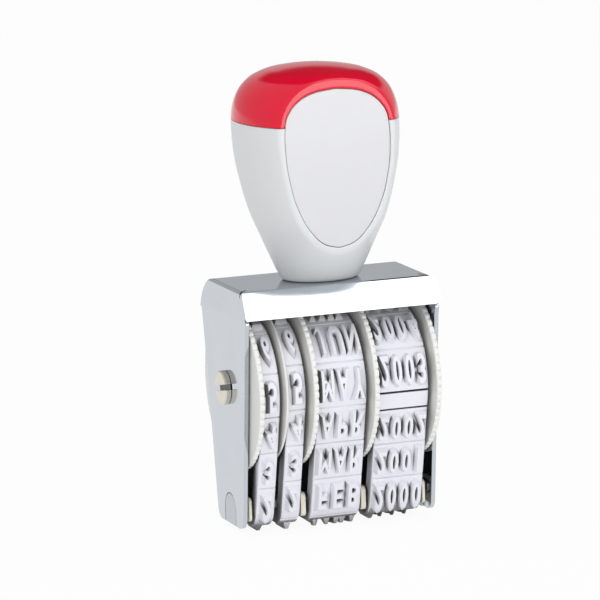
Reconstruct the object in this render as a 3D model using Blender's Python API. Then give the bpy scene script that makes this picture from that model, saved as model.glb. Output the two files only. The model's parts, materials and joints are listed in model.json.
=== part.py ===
"""Hand date stamp: a folded steel frame, four thumb wheels with rubber bands, and a handle.

Units are metres, +Z is up, X runs along the axle and -Y is the front.
The origin is the middle of the printing face, on the paper.
"""

import math

import bmesh
import bpy
from mathutils import Vector

MM = 0.001

# Clearances
RUN_GAP = 0.35 * MM
SEAT_GAP = 0.30 * MM
SIDE_GAP = 0.35 * MM
BAND_GAP = 0.60 * MM
OVERRUN = 2.0 * MM

# Bands: one closed rubber loop each, with a plinth and raised characters for every cell
DAY_BAND_WIDTH = 3.15 * MM
MONTH_BAND_WIDTH = 8.6 * MM
YEAR_BAND_WIDTH = 9.1 * MM
BAND_PLINTH = 2.4 * MM
CHARACTER_RISE = 1.0 * MM
CHARACTER_HEIGHT = 4.2 * MM
CHARACTER_MARGIN = 0.35 * MM
CELL_GROOVE_WIDTH = 0.5 * MM
CELL_GROOVE_DEPTH = 0.35 * MM
CELL_COUNT = 13
YEAR_SEAM_LENGTH = 2.4 * MM
YEAR_SEAM_CELL = 4
# How far the printing cell stands in front of the middle: days, month and year bands
BAND_PHASES = (0.0 * MM, 0.8 * MM, 0.8 * MM, 0.0 * MM)
# The cord inside the rubber keeps its length, so cells are set out along it
CORD_HEIGHT = 0.8 * MM

# Loop that the bands follow
DRUM_RADIUS = 8.9 * MM
DRUM_CLEARANCE = 0.3 * MM
PLATEN_FLAT_HALF = 3.0 * MM
LOOP_CORNER_RADIUS = 1.2 * MM

# Thumb wheels
THUMB_REACH = 1.5 * MM
DISC_THICKNESS = 0.85 * MM
TOOTH_COUNT = 66
TOOTH_DEPTH = 0.5 * MM
# Root, tip, tip and root of one tooth, as shares of the tooth pitch
TOOTH_SHARES = (-0.44, -0.28, 0.28, 0.44)
RIM_DROP = 1.0 * MM
RIM_THICKNESS = 0.4 * MM

# Axle
AXLE_RADIUS = 1.5 * MM
HEAD_RADIUS = 2.85 * MM
HEAD_THICKNESS = 0.75 * MM
HEAD_EDGE = 0.18 * MM
SLOT_WIDTH = 0.9 * MM
SLOT_DEPTH = 0.4 * MM
NUT_GRIP = 0.3 * MM

# Frame, heights from the axle
SHEET = 0.7 * MM
PLATE_HALF_DEPTH = 7.5 * MM
APRON_REACH = 4.7 * MM
APRON_DROP = 4.15 * MM
APRON_CORNER = 1.4 * MM
BEND_RADIUS = 1.0 * MM
NOTCH_WIDTH = 0.9 * MM
NOTCH_DEPTH = 0.8 * MM
CHEEK_FOOT_GAP = 1.1 * MM
CHEEK_CORNER = 1.2 * MM
CHEEK_SHOULDER_DROP = 1.5 * MM
CHEEK_WAIST_HALF = 9.3 * MM
CHEEK_FOOT_HALF = 6.2 * MM

# Platen, its end lugs and the guides beside the bands
PLATEN_THICKNESS = 1.6 * MM
LUG_RADIUS = 2.5 * MM
LUG_RISE = 0.2 * MM
LUG_ROOT = 0.1 * MM
GUIDE_HALF_DEPTH = 5.5 * MM
GUIDE_TOP_WALL = 0.6 * MM
GUIDE_CLEARANCE = 3.9 * MM
GUIDE_FOOT_WALL = 1.2 * MM
GUIDE_CORNER = 1.0 * MM

# Handle, heights from the top plate
HANDLE_HEIGHT = 35.85 * MM
HANDLE_HALF_WIDTH = 13.6 * MM
HANDLE_HALF_DEPTH = 16.6 * MM
# The handle stands a little to the right of the frame's middle
HANDLE_SHIFT = 0.15 * MM
# Its front and back are cut to faces that are flat across and bow a little in height
FACE_CUT = 5.5 * MM
FACE_BOW = 0.8 * MM
FACE_MIDDLE = 20.5 * MM
FACE_REACH = 14.0 * MM
CAP_HEIGHT = 8.85 * MM
CAP_FLOOR = 2.0 * MM
HANDLE_WALL = 2.4 * MM
SHELL_FLOOR = 7.0 * MM
PANEL_MARGIN = 4.5 * MM
PANEL_CROWN = 3.05 * MM
PANEL_FOOT = 6.5 * MM
PANEL_THICKNESS = 1.5 * MM
PANEL_SINK = 0.15 * MM

# Handle fastening
SCREW_CLEARANCE = 1.1 * MM
SCREW_RADIUS = 1.5 * MM
SCREW_HEAD_RADIUS = 2.8 * MM
SCREW_HEAD_THICKNESS = 1.5 * MM
SCREW_TIP_GAP = 0.8 * MM
CROSS_WIDTH = 0.8 * MM
CROSS_LENGTH = 3.2 * MM
CROSS_DEPTH = 0.8 * MM
WASHER_RADIUS = 3.4 * MM
WASHER_THICKNESS = 0.5 * MM
INSERT_RADIUS = 2.6 * MM
INSERT_LENGTH = 5.0 * MM
INSERT_RISE = 0.6 * MM

# Height of the handle as shares of its height, then half width and half depth
# as shares of the widest section
HANDLE_SHARES = (
    (0.000, 0.474, 0.313), (0.028, 0.515, 0.375), (0.111, 0.603, 0.540),
    (0.222, 0.717, 0.730), (0.305, 0.800, 0.860), (0.388, 0.863, 0.930),
    (0.471, 0.917, 0.965), (0.554, 0.962, 0.990), (0.637, 0.987, 1.000),
    (0.720, 0.998, 0.990), (0.776, 0.997, 0.960), (0.831, 0.973, 0.905),
    (0.886, 0.912, 0.825), (0.928, 0.816, 0.738), (0.956, 0.698, 0.645),
    (0.983, 0.463, 0.440), (0.996, 0.213, 0.205),
)
# Where the form that a panel is cut from starts and stops
PANEL_FORM_SHARES = (0.10, 0.985)
CROWN_SHARE = 0.996
# Half outline of the face panel: height share from its foot, half width share
PANEL_SHARES = (
    (0.000, 0.00), (0.018, 0.22), (0.050, 0.375), (0.100, 0.51), (0.170, 0.655),
    (0.265, 0.785), (0.340, 0.865), (0.455, 0.94), (0.545, 0.98), (0.690, 1.00),
    (0.790, 0.98), (0.833, 0.952), (0.873, 0.888), (0.916, 0.78), (0.957, 0.604),
    (0.985, 0.36), (1.000, 0.00),
)

# Round shapes: how many sides
DISC_SIDES = 40
BORE_SIDES = 16
HEAD_SIDES = 32
HANDLE_SIDES = 36
HOLLOW_SIDES = 20
HANDLE_LEVELS = 12
HOLLOW_LEVELS = 5
FACE_LEVELS = 8
LOOP_STEPS = 24
CORNER_STEPS = 4

# Derived heights and places
LOOP_RADIUS = DRUM_RADIUS + DRUM_CLEARANCE
BAND_RADIUS = LOOP_RADIUS + BAND_PLINTH + CHARACTER_RISE
DISC_RADIUS = BAND_RADIUS + THUMB_REACH
RIM_RADIUS = DISC_RADIUS - RIM_DROP
GUIDE_DROP = DISC_RADIUS + GUIDE_CLEARANCE
PLATEN_DROP = GUIDE_DROP + GUIDE_TOP_WALL + SEAT_GAP + PLATEN_THICKNESS + SEAT_GAP
AXLE_Z = PLATEN_DROP + BAND_PLINTH + CHARACTER_RISE
CHEEK_DROP = AXLE_Z - CHEEK_FOOT_GAP
SCREW_ROOM = SCREW_CLEARANCE + SCREW_HEAD_THICKNESS + SEAT_GAP + WASHER_THICKNESS + SEAT_GAP
PLATE_HEIGHT = BAND_RADIUS + SCREW_ROOM + SHEET
PLATE_Z = AXLE_Z + PLATE_HEIGHT
APRON_HALF_DEPTH = PLATE_HALF_DEPTH + APRON_REACH
APRON_HEIGHT = PLATE_HEIGHT - APRON_DROP
CAP_LINE = HANDLE_HEIGHT - CAP_HEIGHT
PANEL_TOP = HANDLE_HEIGHT - PANEL_CROWN
PANEL_HALF_WIDTH = HANDLE_HALF_WIDTH - PANEL_MARGIN
FACE_DEPTH = HANDLE_HALF_DEPTH - FACE_CUT
HANDLE_PLACE = (HANDLE_SHIFT, 0, 0)

# What stands along the axle, from the left cheek to the right one
STACK = (
    ("gap", RUN_GAP), ("disc_1", DISC_THICKNESS),
    ("gap", SIDE_GAP), ("band_1", DAY_BAND_WIDTH),
    ("gap", BAND_GAP), ("rim_2", RIM_THICKNESS),
    ("gap", SIDE_GAP), ("band_2", DAY_BAND_WIDTH),
    ("gap", BAND_GAP), ("disc_2", DISC_THICKNESS),
    ("gap", BAND_GAP), ("band_3", MONTH_BAND_WIDTH),
    ("gap", BAND_GAP), ("disc_3", DISC_THICKNESS),
    ("gap", SIDE_GAP), ("band_4", YEAR_BAND_WIDTH),
    ("gap", BAND_GAP), ("disc_4", DISC_THICKNESS),
    ("gap", RUN_GAP),
)
INNER_HALF = sum(width for _, width in STACK) / 2
FRAME_HALF = INNER_HALF + SHEET

# Colours and finishes: red, green, blue, roughness, metallic
FINISHES = {
    "nickel_steel": (0.62, 0.64, 0.66, 0.22, 1.0),
    "turned_steel": (0.66, 0.64, 0.60, 0.25, 1.0),
    "zinc_steel": (0.55, 0.56, 0.58, 0.40, 1.0),
    "brass": (0.70, 0.55, 0.28, 0.30, 1.0),
    "wheel_plastic": (0.58, 0.58, 0.54, 0.45, 0.0),
    "band_rubber": (0.72, 0.72, 0.78, 0.60, 0.0),
    "guide_plastic": (0.72, 0.68, 0.58, 0.45, 0.0),
    "white_plastic": (0.65, 0.66, 0.67, 0.30, 0.0),
    "panel_plastic": (0.76, 0.76, 0.78, 0.28, 0.0),
    "red_plastic": (0.69, 0.00, 0.03, 0.22, 0.0),
}


def stack_places():
    """Left and right X of each named thing on the axle."""
    places = {}
    x = -INNER_HALF
    for name, width in STACK:
        if name != "gap":
            places[name] = (x, x + width)
        x += width
    return places


def finish(name):
    """A plain Principled material from the table of finishes."""
    material = bpy.data.materials.get(name)
    if material:
        return material
    red, green, blue, roughness, metallic = FINISHES[name]
    material = bpy.data.materials.new(name)
    material.use_nodes = True
    shader = material.node_tree.nodes["Principled BSDF"]
    shader.inputs["Base Color"].default_value = (red, green, blue, 1)
    shader.inputs["Roughness"].default_value = roughness
    shader.inputs["Metallic"].default_value = metallic
    return material


def new_object(name, mesh, place=(0, 0, 0)):
    part = bpy.data.objects.new(name, mesh)
    part.location = place
    bpy.context.scene.collection.objects.link(part)
    return part


def solid(name, points, faces, place=(0, 0, 0)):
    """An object from points and faces, with the faces turned outwards."""
    mesh = bpy.data.meshes.new(name)
    mesh.from_pydata([tuple(point) for point in points], [], faces)
    work = bmesh.new()
    work.from_mesh(mesh)
    bmesh.ops.recalc_face_normals(work, faces=work.faces)
    work.to_mesh(mesh)
    work.free()
    return new_object(name, mesh, place)


def rings(name, sections, place=(0, 0, 0)):
    """A closed solid through a row of closed sections with equal point counts."""
    count = len(sections[0])
    points = [point for section in sections for point in section]
    faces = []
    for ring in range(len(sections) - 1):
        for side in range(count):
            after = (side + 1) % count
            low = ring * count
            high = low + count
            faces.append((low + side, low + after, high + after, high + side))
    faces.append(tuple(range(count)))
    faces.append(tuple(range(len(points) - count, len(points))))
    return solid(name, points, faces, place)


def prism_x(name, outline, left, right, place=(0, 0, 0)):
    """An outline of (y, z) points pushed along X."""
    sections = [[(x, y, z) for y, z in outline] for x in (left, right)]
    return rings(name, sections, place)


def prism_y(name, outline, front, back, place=(0, 0, 0)):
    """An outline of (x, z) points pushed along Y."""
    sections = [[(x, y, z) for x, z in outline] for y in (front, back)]
    return rings(name, sections, place)


def round_x(name, profile, sides, place=(0, 0, 0)):
    """A turned solid about X from (x, radius) pairs."""
    sections = []
    for x, radius in profile:
        angles = [math.tau * step / sides for step in range(sides)]
        sections.append([(x, radius * math.cos(a), radius * math.sin(a)) for a in angles])
    return rings(name, sections, place)


def round_z(name, profile, sides, place=(0, 0, 0)):
    """A turned solid about Z from (z, radius) pairs."""
    sections = []
    for z, radius in profile:
        angles = [math.tau * step / sides for step in range(sides)]
        sections.append([(radius * math.cos(a), radius * math.sin(a), z) for a in angles])
    return rings(name, sections, place)


def block(name, low, high, place=(0, 0, 0)):
    """A box between two corners."""
    outline = [(low[1], low[2]), (high[1], low[2]), (high[1], high[2]), (low[1], high[2])]
    return prism_x(name, outline, low[0], high[0], place)


def combine(target, tool, operation):
    """Apply an exact Boolean and remove the tool."""
    modifier = target.modifiers.new(operation.lower(), "BOOLEAN")
    modifier.operation = operation
    modifier.solver = "EXACT"
    modifier.object = tool
    bpy.context.view_layer.update()
    graph = bpy.context.evaluated_depsgraph_get()
    mesh = bpy.data.meshes.new_from_object(target.evaluated_get(graph))
    target.modifiers.clear()
    target.data = mesh
    bpy.data.objects.remove(tool)
    return target


def dress(part, material, smooth_angle=35):
    """Give the part its one material and smooth its round faces."""
    part.data.materials.clear()
    part.data.materials.append(finish(material))
    part.data.shade_smooth()
    part.data.set_sharp_from_angle(angle=math.radians(smooth_angle))
    return part


def rounded(corners, radii, steps=CORNER_STEPS):
    """A closed outline with each corner replaced by an arc of its own radius."""
    outline = []
    count = len(corners)
    for index, corner in enumerate(corners):
        radius = radii[index]
        here = Vector(corner)
        before = (Vector(corners[index - 1]) - here).normalized()
        after = (Vector(corners[(index + 1) % count]) - here).normalized()
        if radius <= 0:
            outline.append(tuple(here))
            continue
        half = before.angle(after) / 2
        centre = here + (before + after).normalized() * (radius / math.sin(half))
        start = here + before * (radius / math.tan(half)) - centre
        end = here + after * (radius / math.tan(half)) - centre
        sweep = start.angle_signed(end)
        for step in range(steps + 1):
            turn = -sweep * step / steps
            spoke = Vector((
                start.x * math.cos(turn) - start.y * math.sin(turn),
                start.x * math.sin(turn) + start.y * math.cos(turn)))
            outline.append(tuple(centre + spoke))
    return outline


class BandLoop:
    """The path of a band's inner face, measured from the middle of the printing face."""

    def __init__(self):
        self.corner_z = LOOP_CORNER_RADIUS - PLATEN_DROP
        reach = math.hypot(PLATEN_FLAT_HALF, self.corner_z)
        lean = math.atan2(PLATEN_FLAT_HALF, -self.corner_z)
        self.tilt = math.asin((LOOP_RADIUS - LOOP_CORNER_RADIUS) / reach) - lean
        self.run = math.sqrt(reach ** 2 - (LOOP_RADIUS - LOOP_CORNER_RADIUS) ** 2)
        self.flat = PLATEN_FLAT_HALF
        self.corner_cord = LOOP_CORNER_RADIUS + CORD_HEIGHT
        self.drum_cord = LOOP_RADIUS + CORD_HEIGHT
        self.corner = self.corner_cord * (math.pi / 2 - self.tilt)
        self.half = self.flat + self.corner + self.run
        self.half += self.drum_cord * (math.pi / 2 + self.tilt)

    def point(self, along, height):
        """(y, z) at a distance along the cord, towards the front, and a height outside the
        inner face."""
        length = 2 * self.half
        along = (along + self.half) % length - self.half
        side = -1 if along >= 0 else 1
        far = abs(along)
        if far <= self.flat:
            y = far
            z = -PLATEN_DROP - height
        elif far <= self.flat + self.corner:
            turn = (far - self.flat) / self.corner_cord
            y = PLATEN_FLAT_HALF + (LOOP_CORNER_RADIUS + height) * math.sin(turn)
            z = self.corner_z - (LOOP_CORNER_RADIUS + height) * math.cos(turn)
        elif far <= self.flat + self.corner + self.run:
            rest = far - self.flat - self.corner
            out = LOOP_CORNER_RADIUS + height
            y = PLATEN_FLAT_HALF + out * math.cos(self.tilt) + rest * math.sin(self.tilt)
            z = self.corner_z - out * math.sin(self.tilt) + rest * math.cos(self.tilt)
        else:
            turn = (far - self.flat - self.corner - self.run) / self.drum_cord - self.tilt
            y = (LOOP_RADIUS + height) * math.cos(turn)
            z = (LOOP_RADIUS + height) * math.sin(turn)
        return side * y, z

    def breaks(self):
        """Distances along the loop where a straight stretch meets an arc."""
        marks = (self.flat, self.flat + self.corner, self.flat + self.corner + self.run)
        return list(marks) + [-mark for mark in marks]


LOOP = BandLoop()


def cell_centres(seam, phase):
    """Middle of each cell along the loop, the printing cell first, with a seam strip if any."""
    pitch = (2 * LOOP.half - seam) / CELL_COUNT
    centres = []
    for cell in range(CELL_COUNT):
        shift = seam if cell >= YEAR_SEAM_CELL else 0
        centres.append((phase + cell * pitch + shift, pitch))
    return centres


def stretch(start, end, height, count):
    """Points along the loop at one height, with the loop's own breaks kept."""
    marks = [start + (end - start) * step / count for step in range(count + 1)]
    length = 2 * LOOP.half
    for mark in LOOP.breaks():
        for turn in (-length, 0, length):
            if start < mark + turn < end:
                marks.append(mark + turn)
    return [LOOP.point(mark, height) for mark in sorted(set(marks))]


def band(name, left, right, seam, phase, place):
    """A band: a plinth ring with a groove between cells, and a raised block in each cell."""
    web = BAND_PLINTH / 3
    edge = CELL_GROOVE_WIDTH / 2
    plinth_line = []
    block_line = []
    cells = cell_centres(seam, phase)
    for index, (centre, pitch) in enumerate(cells):
        low = centre - pitch / 2
        high = centre + pitch / 2
        plinth_line += stretch(low + edge, high - edge, BAND_PLINTH, 4)
        plinth_line.append(LOOP.point(high, BAND_PLINTH - CELL_GROOVE_DEPTH))
        strip = seam if index == YEAR_SEAM_CELL - 1 else 0
        if strip:
            plinth_line += stretch(high + edge, high + strip - edge, BAND_PLINTH, 2)
            plinth_line.append(LOOP.point(high + strip, BAND_PLINTH - CELL_GROOVE_DEPTH))
        start = centre - CHARACTER_HEIGHT / 2
        end = centre + CHARACTER_HEIGHT / 2
        block_line.append(LOOP.point(start, 2 * web))
        block_line += stretch(start, end, BAND_PLINTH + CHARACTER_RISE, 3)
        block_line += stretch(end, start + pitch + strip, 2 * web, 2)[:-1]
    part = ring_prism(name, plinth_line, 0, left, right, place)
    blocks = ring_prism(
        name + "_blocks", block_line, web,
        left + CHARACTER_MARGIN, right - CHARACTER_MARGIN, place)
    combine(part, blocks, "UNION")
    return dress(part, "band_rubber", 25)


def ring_prism(name, outline, inside, left, right, place):
    """A loop of rubber: an outer outline, with the loop's inner path cut out of it."""
    part = prism_x(name, outline, left, right, place)
    hole_line = stretch(-LOOP.half, LOOP.half, inside, LOOP_STEPS)[:-1]
    hole = prism_x(name + "_hole", hole_line, left - OVERRUN, right + OVERRUN, place)
    return combine(part, hole, "DIFFERENCE")


def toothed_outline():
    """The edge of a thumb wheel's disc, with flat-topped teeth."""
    outline = []
    pitch = math.tau / TOOTH_COUNT
    root = DISC_RADIUS - TOOTH_DEPTH
    for tooth in range(TOOTH_COUNT):
        middle = tooth * pitch
        for share, radius in zip(TOOTH_SHARES, (root, DISC_RADIUS, DISC_RADIUS, root)):
            angle = middle + share * pitch
            outline.append((radius * math.cos(angle), radius * math.sin(angle)))
    return outline


def thumb_wheel(number, disc, drum, rim, place):
    """A wheel on the axle: toothed disc, drum under the band, and a plain rim if any."""
    name = "thumb_wheel_%d" % number
    part = prism_x(name, toothed_outline(), disc[0], disc[1], place)
    roots = DISC_THICKNESS / 2
    low = drum[0] - (roots if disc[1] <= drum[0] + SIDE_GAP else 0)
    high = drum[1] + (roots if disc[0] >= drum[1] - SIDE_GAP else 0)
    core = round_x(name + "_drum", ((low, DRUM_RADIUS), (high, DRUM_RADIUS)), DISC_SIDES, place)
    combine(part, core, "UNION")
    if rim:
        plain = round_x(name + "_rim", ((rim[0], RIM_RADIUS), (rim[1], RIM_RADIUS)), DISC_SIDES, place)
        combine(part, plain, "UNION")
    bore = AXLE_RADIUS + SEAT_GAP
    ends = (min(disc[0], drum[0]) - OVERRUN, max(disc[1], drum[1]) + OVERRUN)
    cut = round_x(name + "_bore", ((ends[0], bore), (ends[1], bore)), BORE_SIDES, place)
    combine(part, cut, "DIFFERENCE")
    return dress(part, "wheel_plastic")


def thumb_wheels(places):
    """The four wheels, each on an empty at the axle, where it turns."""
    axle_point = (0, 0, AXLE_Z)
    rim = places["rim_2"]
    discs = [places["disc_%d" % number] for number in (1, 2, 3, 4)]
    drums = (
        (discs[0][1], rim[0] - RUN_GAP),
        (rim[0] + RIM_THICKNESS / 2, discs[1][0]),
        (discs[1][1] + RUN_GAP, discs[2][0]),
        (discs[2][1] + RUN_GAP, discs[3][0]),
    )
    for index in range(4):
        wheel = thumb_wheel(index + 1, discs[index], drums[index], rim if index == 1 else None, (0, 0, 0))
        pivot = bpy.data.objects.new("wheel_pivot_%d" % (index + 1), None)
        pivot.location = axle_point
        bpy.context.scene.collection.objects.link(pivot)
        wheel.parent = pivot


def cheek_outline():
    """Side view of a cheek, (y, z) from the axle, tucked under the aprons."""
    slope = math.atan2(PLATE_HEIGHT - APRON_HEIGHT, APRON_HALF_DEPTH - PLATE_HALF_DEPTH)
    tuck = SHEET + SEAT_GAP
    # The tucked line runs parallel to the apron, one sheet and one gap inside it
    shift_y = tuck * math.sin(slope)
    shift_z = tuck * math.cos(slope)
    top_y = PLATE_HALF_DEPTH - shift_y
    top_z = PLATE_HEIGHT - shift_z
    shoulder_y = APRON_HALF_DEPTH - shift_y
    shoulder_z = APRON_HEIGHT - shift_z
    half = [
        (PLATE_HALF_DEPTH - shift_y, PLATE_HEIGHT),
        (top_y, top_z),
        (shoulder_y, shoulder_z),
        (shoulder_y - CHEEK_SHOULDER_DROP / 3, shoulder_z - CHEEK_SHOULDER_DROP),
        (CHEEK_WAIST_HALF, 0),
        (CHEEK_FOOT_HALF, -CHEEK_DROP),
    ]
    radii = [0, 0, APRON_CORNER / 2, CHEEK_CORNER, CHEEK_WAIST_HALF, CHEEK_CORNER]
    corners = half + [(-y, z) for y, z in reversed(half)]
    return rounded(corners, radii + list(reversed(radii)))


def frame_section():
    """Front view of the plate and both cheeks, (x, z) from the axle."""
    inner_bend = BEND_RADIUS - SHEET
    outer = [
        (-FRAME_HALF, -CHEEK_DROP), (-FRAME_HALF, PLATE_HEIGHT),
        (FRAME_HALF, PLATE_HEIGHT), (FRAME_HALF, -CHEEK_DROP),
    ]
    inner = [
        (INNER_HALF, -CHEEK_DROP), (INNER_HALF, PLATE_HEIGHT - SHEET),
        (-INNER_HALF, PLATE_HEIGHT - SHEET), (-INNER_HALF, -CHEEK_DROP),
    ]
    radii = [0, BEND_RADIUS, BEND_RADIUS, 0, 0, inner_bend, inner_bend, 0]
    return rounded(outer + inner, radii)


def apron_outline(side):
    """Side view of an apron, from inside the plate down its slope, (y, z) from the axle."""
    slope = math.atan2(PLATE_HEIGHT - APRON_HEIGHT, APRON_HALF_DEPTH - PLATE_HALF_DEPTH)
    level = SHEET / math.sin(slope)
    knee = SHEET * math.tan(slope / 2)
    root = PLATE_HALF_DEPTH - BEND_RADIUS
    points = [
        (root, PLATE_HEIGHT), (PLATE_HALF_DEPTH, PLATE_HEIGHT), (APRON_HALF_DEPTH, APRON_HEIGHT),
        (APRON_HALF_DEPTH - level, APRON_HEIGHT),
        (PLATE_HALF_DEPTH - knee, PLATE_HEIGHT - SHEET), (root, PLATE_HEIGHT - SHEET),
    ]
    outline = rounded(points, [0, BEND_RADIUS, 0, 0, BEND_RADIUS / 3, 0], 3)
    return [(side * y, z) for y, z in outline]


def frame():
    """The folded sheet: plate, two cheeks and two aprons in one piece."""
    place = (0, 0, AXLE_Z)
    reach = APRON_HALF_DEPTH + OVERRUN
    part = prism_y("frame", frame_section(), -reach, reach, place)
    profile = prism_x(
        "cheek_profile", cheek_outline(), -FRAME_HALF - OVERRUN, FRAME_HALF + OVERRUN, place)
    combine(part, profile, "INTERSECT")
    for side in (-1, 1):
        apron = prism_x("apron", apron_outline(side), -FRAME_HALF, FRAME_HALF, place)
        # Round the two lower corners of the apron, seen from the front
        corners = [
            (-FRAME_HALF, APRON_HEIGHT), (FRAME_HALF, APRON_HEIGHT),
            (FRAME_HALF, PLATE_HEIGHT + OVERRUN), (-FRAME_HALF, PLATE_HEIGHT + OVERRUN)]
        window = prism_y(
            "apron_window", rounded(corners, [APRON_CORNER, APRON_CORNER, 0, 0]),
            -reach, reach, place)
        combine(apron, window, "INTERSECT")
        for end in (-1, 1):
            inner = FRAME_HALF - NOTCH_WIDTH
            span = sorted((end * inner, end * (FRAME_HALF + OVERRUN)))
            depth = sorted((0, side * (PLATE_HALF_DEPTH + NOTCH_DEPTH)))
            notch = block(
                "notch", (span[0], depth[0], 0), (span[1], depth[1], PLATE_HEIGHT + OVERRUN), place)
            combine(apron, notch, "DIFFERENCE")
        combine(part, apron, "UNION")
    hole = AXLE_RADIUS + SEAT_GAP
    wide = FRAME_HALF + OVERRUN
    combine(part, round_x("axle_hole", ((-wide, hole), (wide, hole)), BORE_SIDES, place), "DIFFERENCE")
    combine(part, prism_x("lug_slot", lug_outline(SEAT_GAP, OVERRUN), -wide, wide, place), "DIFFERENCE")
    screw_hole = SCREW_RADIUS + SEAT_GAP
    through = ((PLATE_HEIGHT - OVERRUN, screw_hole), (PLATE_HEIGHT + OVERRUN, screw_hole))
    above = (HANDLE_SHIFT, 0, AXLE_Z)
    combine(part, round_z("screw_hole", through, BORE_SIDES, above), "DIFFERENCE")
    return dress(part, "nickel_steel", 30)


def lug_outline(gap, drop):
    """A round-topped lug, open downwards, (y, z) from the axle."""
    radius = LUG_RADIUS + gap
    centre = LUG_RISE - PLATEN_DROP
    outline = [(radius, -CHEEK_DROP - drop)]
    for step in range(HEAD_SIDES // 2 + 1):
        angle = math.pi * step / (HEAD_SIDES // 2)
        outline.append((radius * math.cos(angle), centre + radius * math.sin(angle)))
    outline.append((-radius, -CHEEK_DROP - drop))
    return outline


def platen_outline(gap):
    """Cross-section of the bar that the bands turn round, (y, z) from the axle."""
    half = PLATEN_FLAT_HALF + LOOP_CORNER_RADIUS - SEAT_GAP + gap
    foot = SEAT_GAP - PLATEN_DROP - gap
    top = foot + PLATEN_THICKNESS + 2 * gap
    lean = (PLATEN_THICKNESS + 2 * gap) * math.tan(LOOP.tilt)
    corners = [(-half, foot), (half, foot), (half + lean / 2, top), (-half - lean / 2, top)]
    corner = LOOP_CORNER_RADIUS - SEAT_GAP + gap
    return rounded(corners, [corner, corner, corner / 2, corner / 2])


def platen():
    """The steel bar across the foot of the frame, with a round-topped lug in each cheek."""
    place = (0, 0, AXLE_Z)
    shoulder = INNER_HALF - SEAT_GAP
    part = prism_x("platen", platen_outline(0), -shoulder, shoulder, place)
    for side in (-1, 1):
        ends = sorted((side * (shoulder - LUG_ROOT), side * FRAME_HALF))
        combine(part, prism_x("lug", lug_outline(0, 0), ends[0], ends[1], place), "UNION")
    return dress(part, "zinc_steel", 30)


def band_guides(places):
    """Spacers on the platen bar that keep the bands apart."""
    place = (0, 0, AXLE_Z)
    bar_top = SEAT_GAP - PLATEN_DROP + PLATEN_THICKNESS
    top = bar_top + SEAT_GAP + GUIDE_TOP_WALL
    foot = -PLATEN_DROP - GUIDE_FOOT_WALL
    for number in (1, 2, 3, 4):
        left, right = places["disc_%d" % number]
        corners = [
            (-GUIDE_HALF_DEPTH, foot), (GUIDE_HALF_DEPTH, foot),
            (GUIDE_HALF_DEPTH, top), (-GUIDE_HALF_DEPTH, top)]
        name = "band_guide_%d" % number
        inner = INNER_HALF - SEAT_GAP - LUG_ROOT - SEAT_GAP
        left = max(left, -inner)
        right = min(right, inner)
        part = prism_x(name, rounded(corners, [GUIDE_CORNER] * 4), left, right, place)
        hole = prism_x(name + "_hole", platen_outline(SEAT_GAP), left - OVERRUN, right + OVERRUN, place)
        combine(part, hole, "DIFFERENCE")
        dress(part, "guide_plastic", 30)


def slot_cut(name, face, inward):
    """A screwdriver slot across a round head, level, cut into its outer face."""
    ends = sorted((face - inward * OVERRUN, face + inward * SLOT_DEPTH))
    half = SLOT_WIDTH / 2
    reach = HEAD_RADIUS + OVERRUN
    return block(name, (ends[0], -reach, -half), (ends[1], reach, half), (0, 0, AXLE_Z))


def axle():
    """The shaft through both cheeks, with a slotted head outside the left one."""
    inner_face = -FRAME_HALF - SEAT_GAP
    outer_face = inner_face - HEAD_THICKNESS
    end = FRAME_HALF + SEAT_GAP + NUT_GRIP
    profile = (
        (outer_face, HEAD_RADIUS - HEAD_EDGE), (outer_face + HEAD_EDGE, HEAD_RADIUS),
        (inner_face, HEAD_RADIUS), (inner_face, AXLE_RADIUS), (end, AXLE_RADIUS))
    part = round_x("axle", profile, HEAD_SIDES, (0, 0, AXLE_Z))
    combine(part, slot_cut("axle_slot", outer_face, 1), "DIFFERENCE")
    return dress(part, "turned_steel", 30)


def axle_nut():
    """The slotted round nut outside the right cheek."""
    inner_face = FRAME_HALF + SEAT_GAP
    outer_face = inner_face + HEAD_THICKNESS
    profile = (
        (inner_face, HEAD_RADIUS), (outer_face - HEAD_EDGE, HEAD_RADIUS),
        (outer_face, HEAD_RADIUS - HEAD_EDGE))
    part = round_x("axle_nut", profile, HEAD_SIDES, (0, 0, AXLE_Z))
    bore = AXLE_RADIUS + SEAT_GAP
    cut = round_x(
        "nut_bore", ((inner_face - OVERRUN, bore), (outer_face + OVERRUN, bore)),
        BORE_SIDES, (0, 0, AXLE_Z))
    combine(part, cut, "DIFFERENCE")
    combine(part, slot_cut("nut_slot", outer_face, -1), "DIFFERENCE")
    return dress(part, "turned_steel", 30)


def smooth_value(table, share, column):
    """Read a table of shares along a smooth curve through its rows."""
    rows = list(table)
    last = len(rows) - 2
    index = max(i for i in range(len(rows) - 1) if rows[i][0] <= share or i == 0)
    index = min(index, last)
    before = rows[max(index - 1, 0)]
    start = rows[index]
    end = rows[index + 1]
    after = rows[min(index + 2, len(rows) - 1)]
    span = end[0] - start[0]
    turn = (share - start[0]) / span
    rise_in = (end[column] - before[column]) / (end[0] - before[0])
    rise_out = (after[column] - start[column]) / (after[0] - start[0])
    a = 2 * turn ** 3 - 3 * turn ** 2 + 1
    b = turn ** 3 - 2 * turn ** 2 + turn
    c = 3 * turn ** 2 - 2 * turn ** 3
    d = turn ** 3 - turn ** 2
    return a * start[column] + b * rise_in * span + c * end[column] + d * rise_out * span


def egg_section(share, inset, sides):
    """One level section of the handle, drawn in by inset."""
    half_width = HANDLE_HALF_WIDTH * smooth_value(HANDLE_SHARES, share, 1) - inset
    half_depth = HANDLE_HALF_DEPTH * smooth_value(HANDLE_SHARES, share, 2) - inset
    z = PLATE_Z + SEAT_GAP + (HANDLE_HEIGHT - SEAT_GAP) * share
    points = []
    for step in range(sides):
        angle = math.tau * step / sides
        points.append((half_width * math.cos(angle), half_depth * math.sin(angle), z))
    return points


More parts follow.
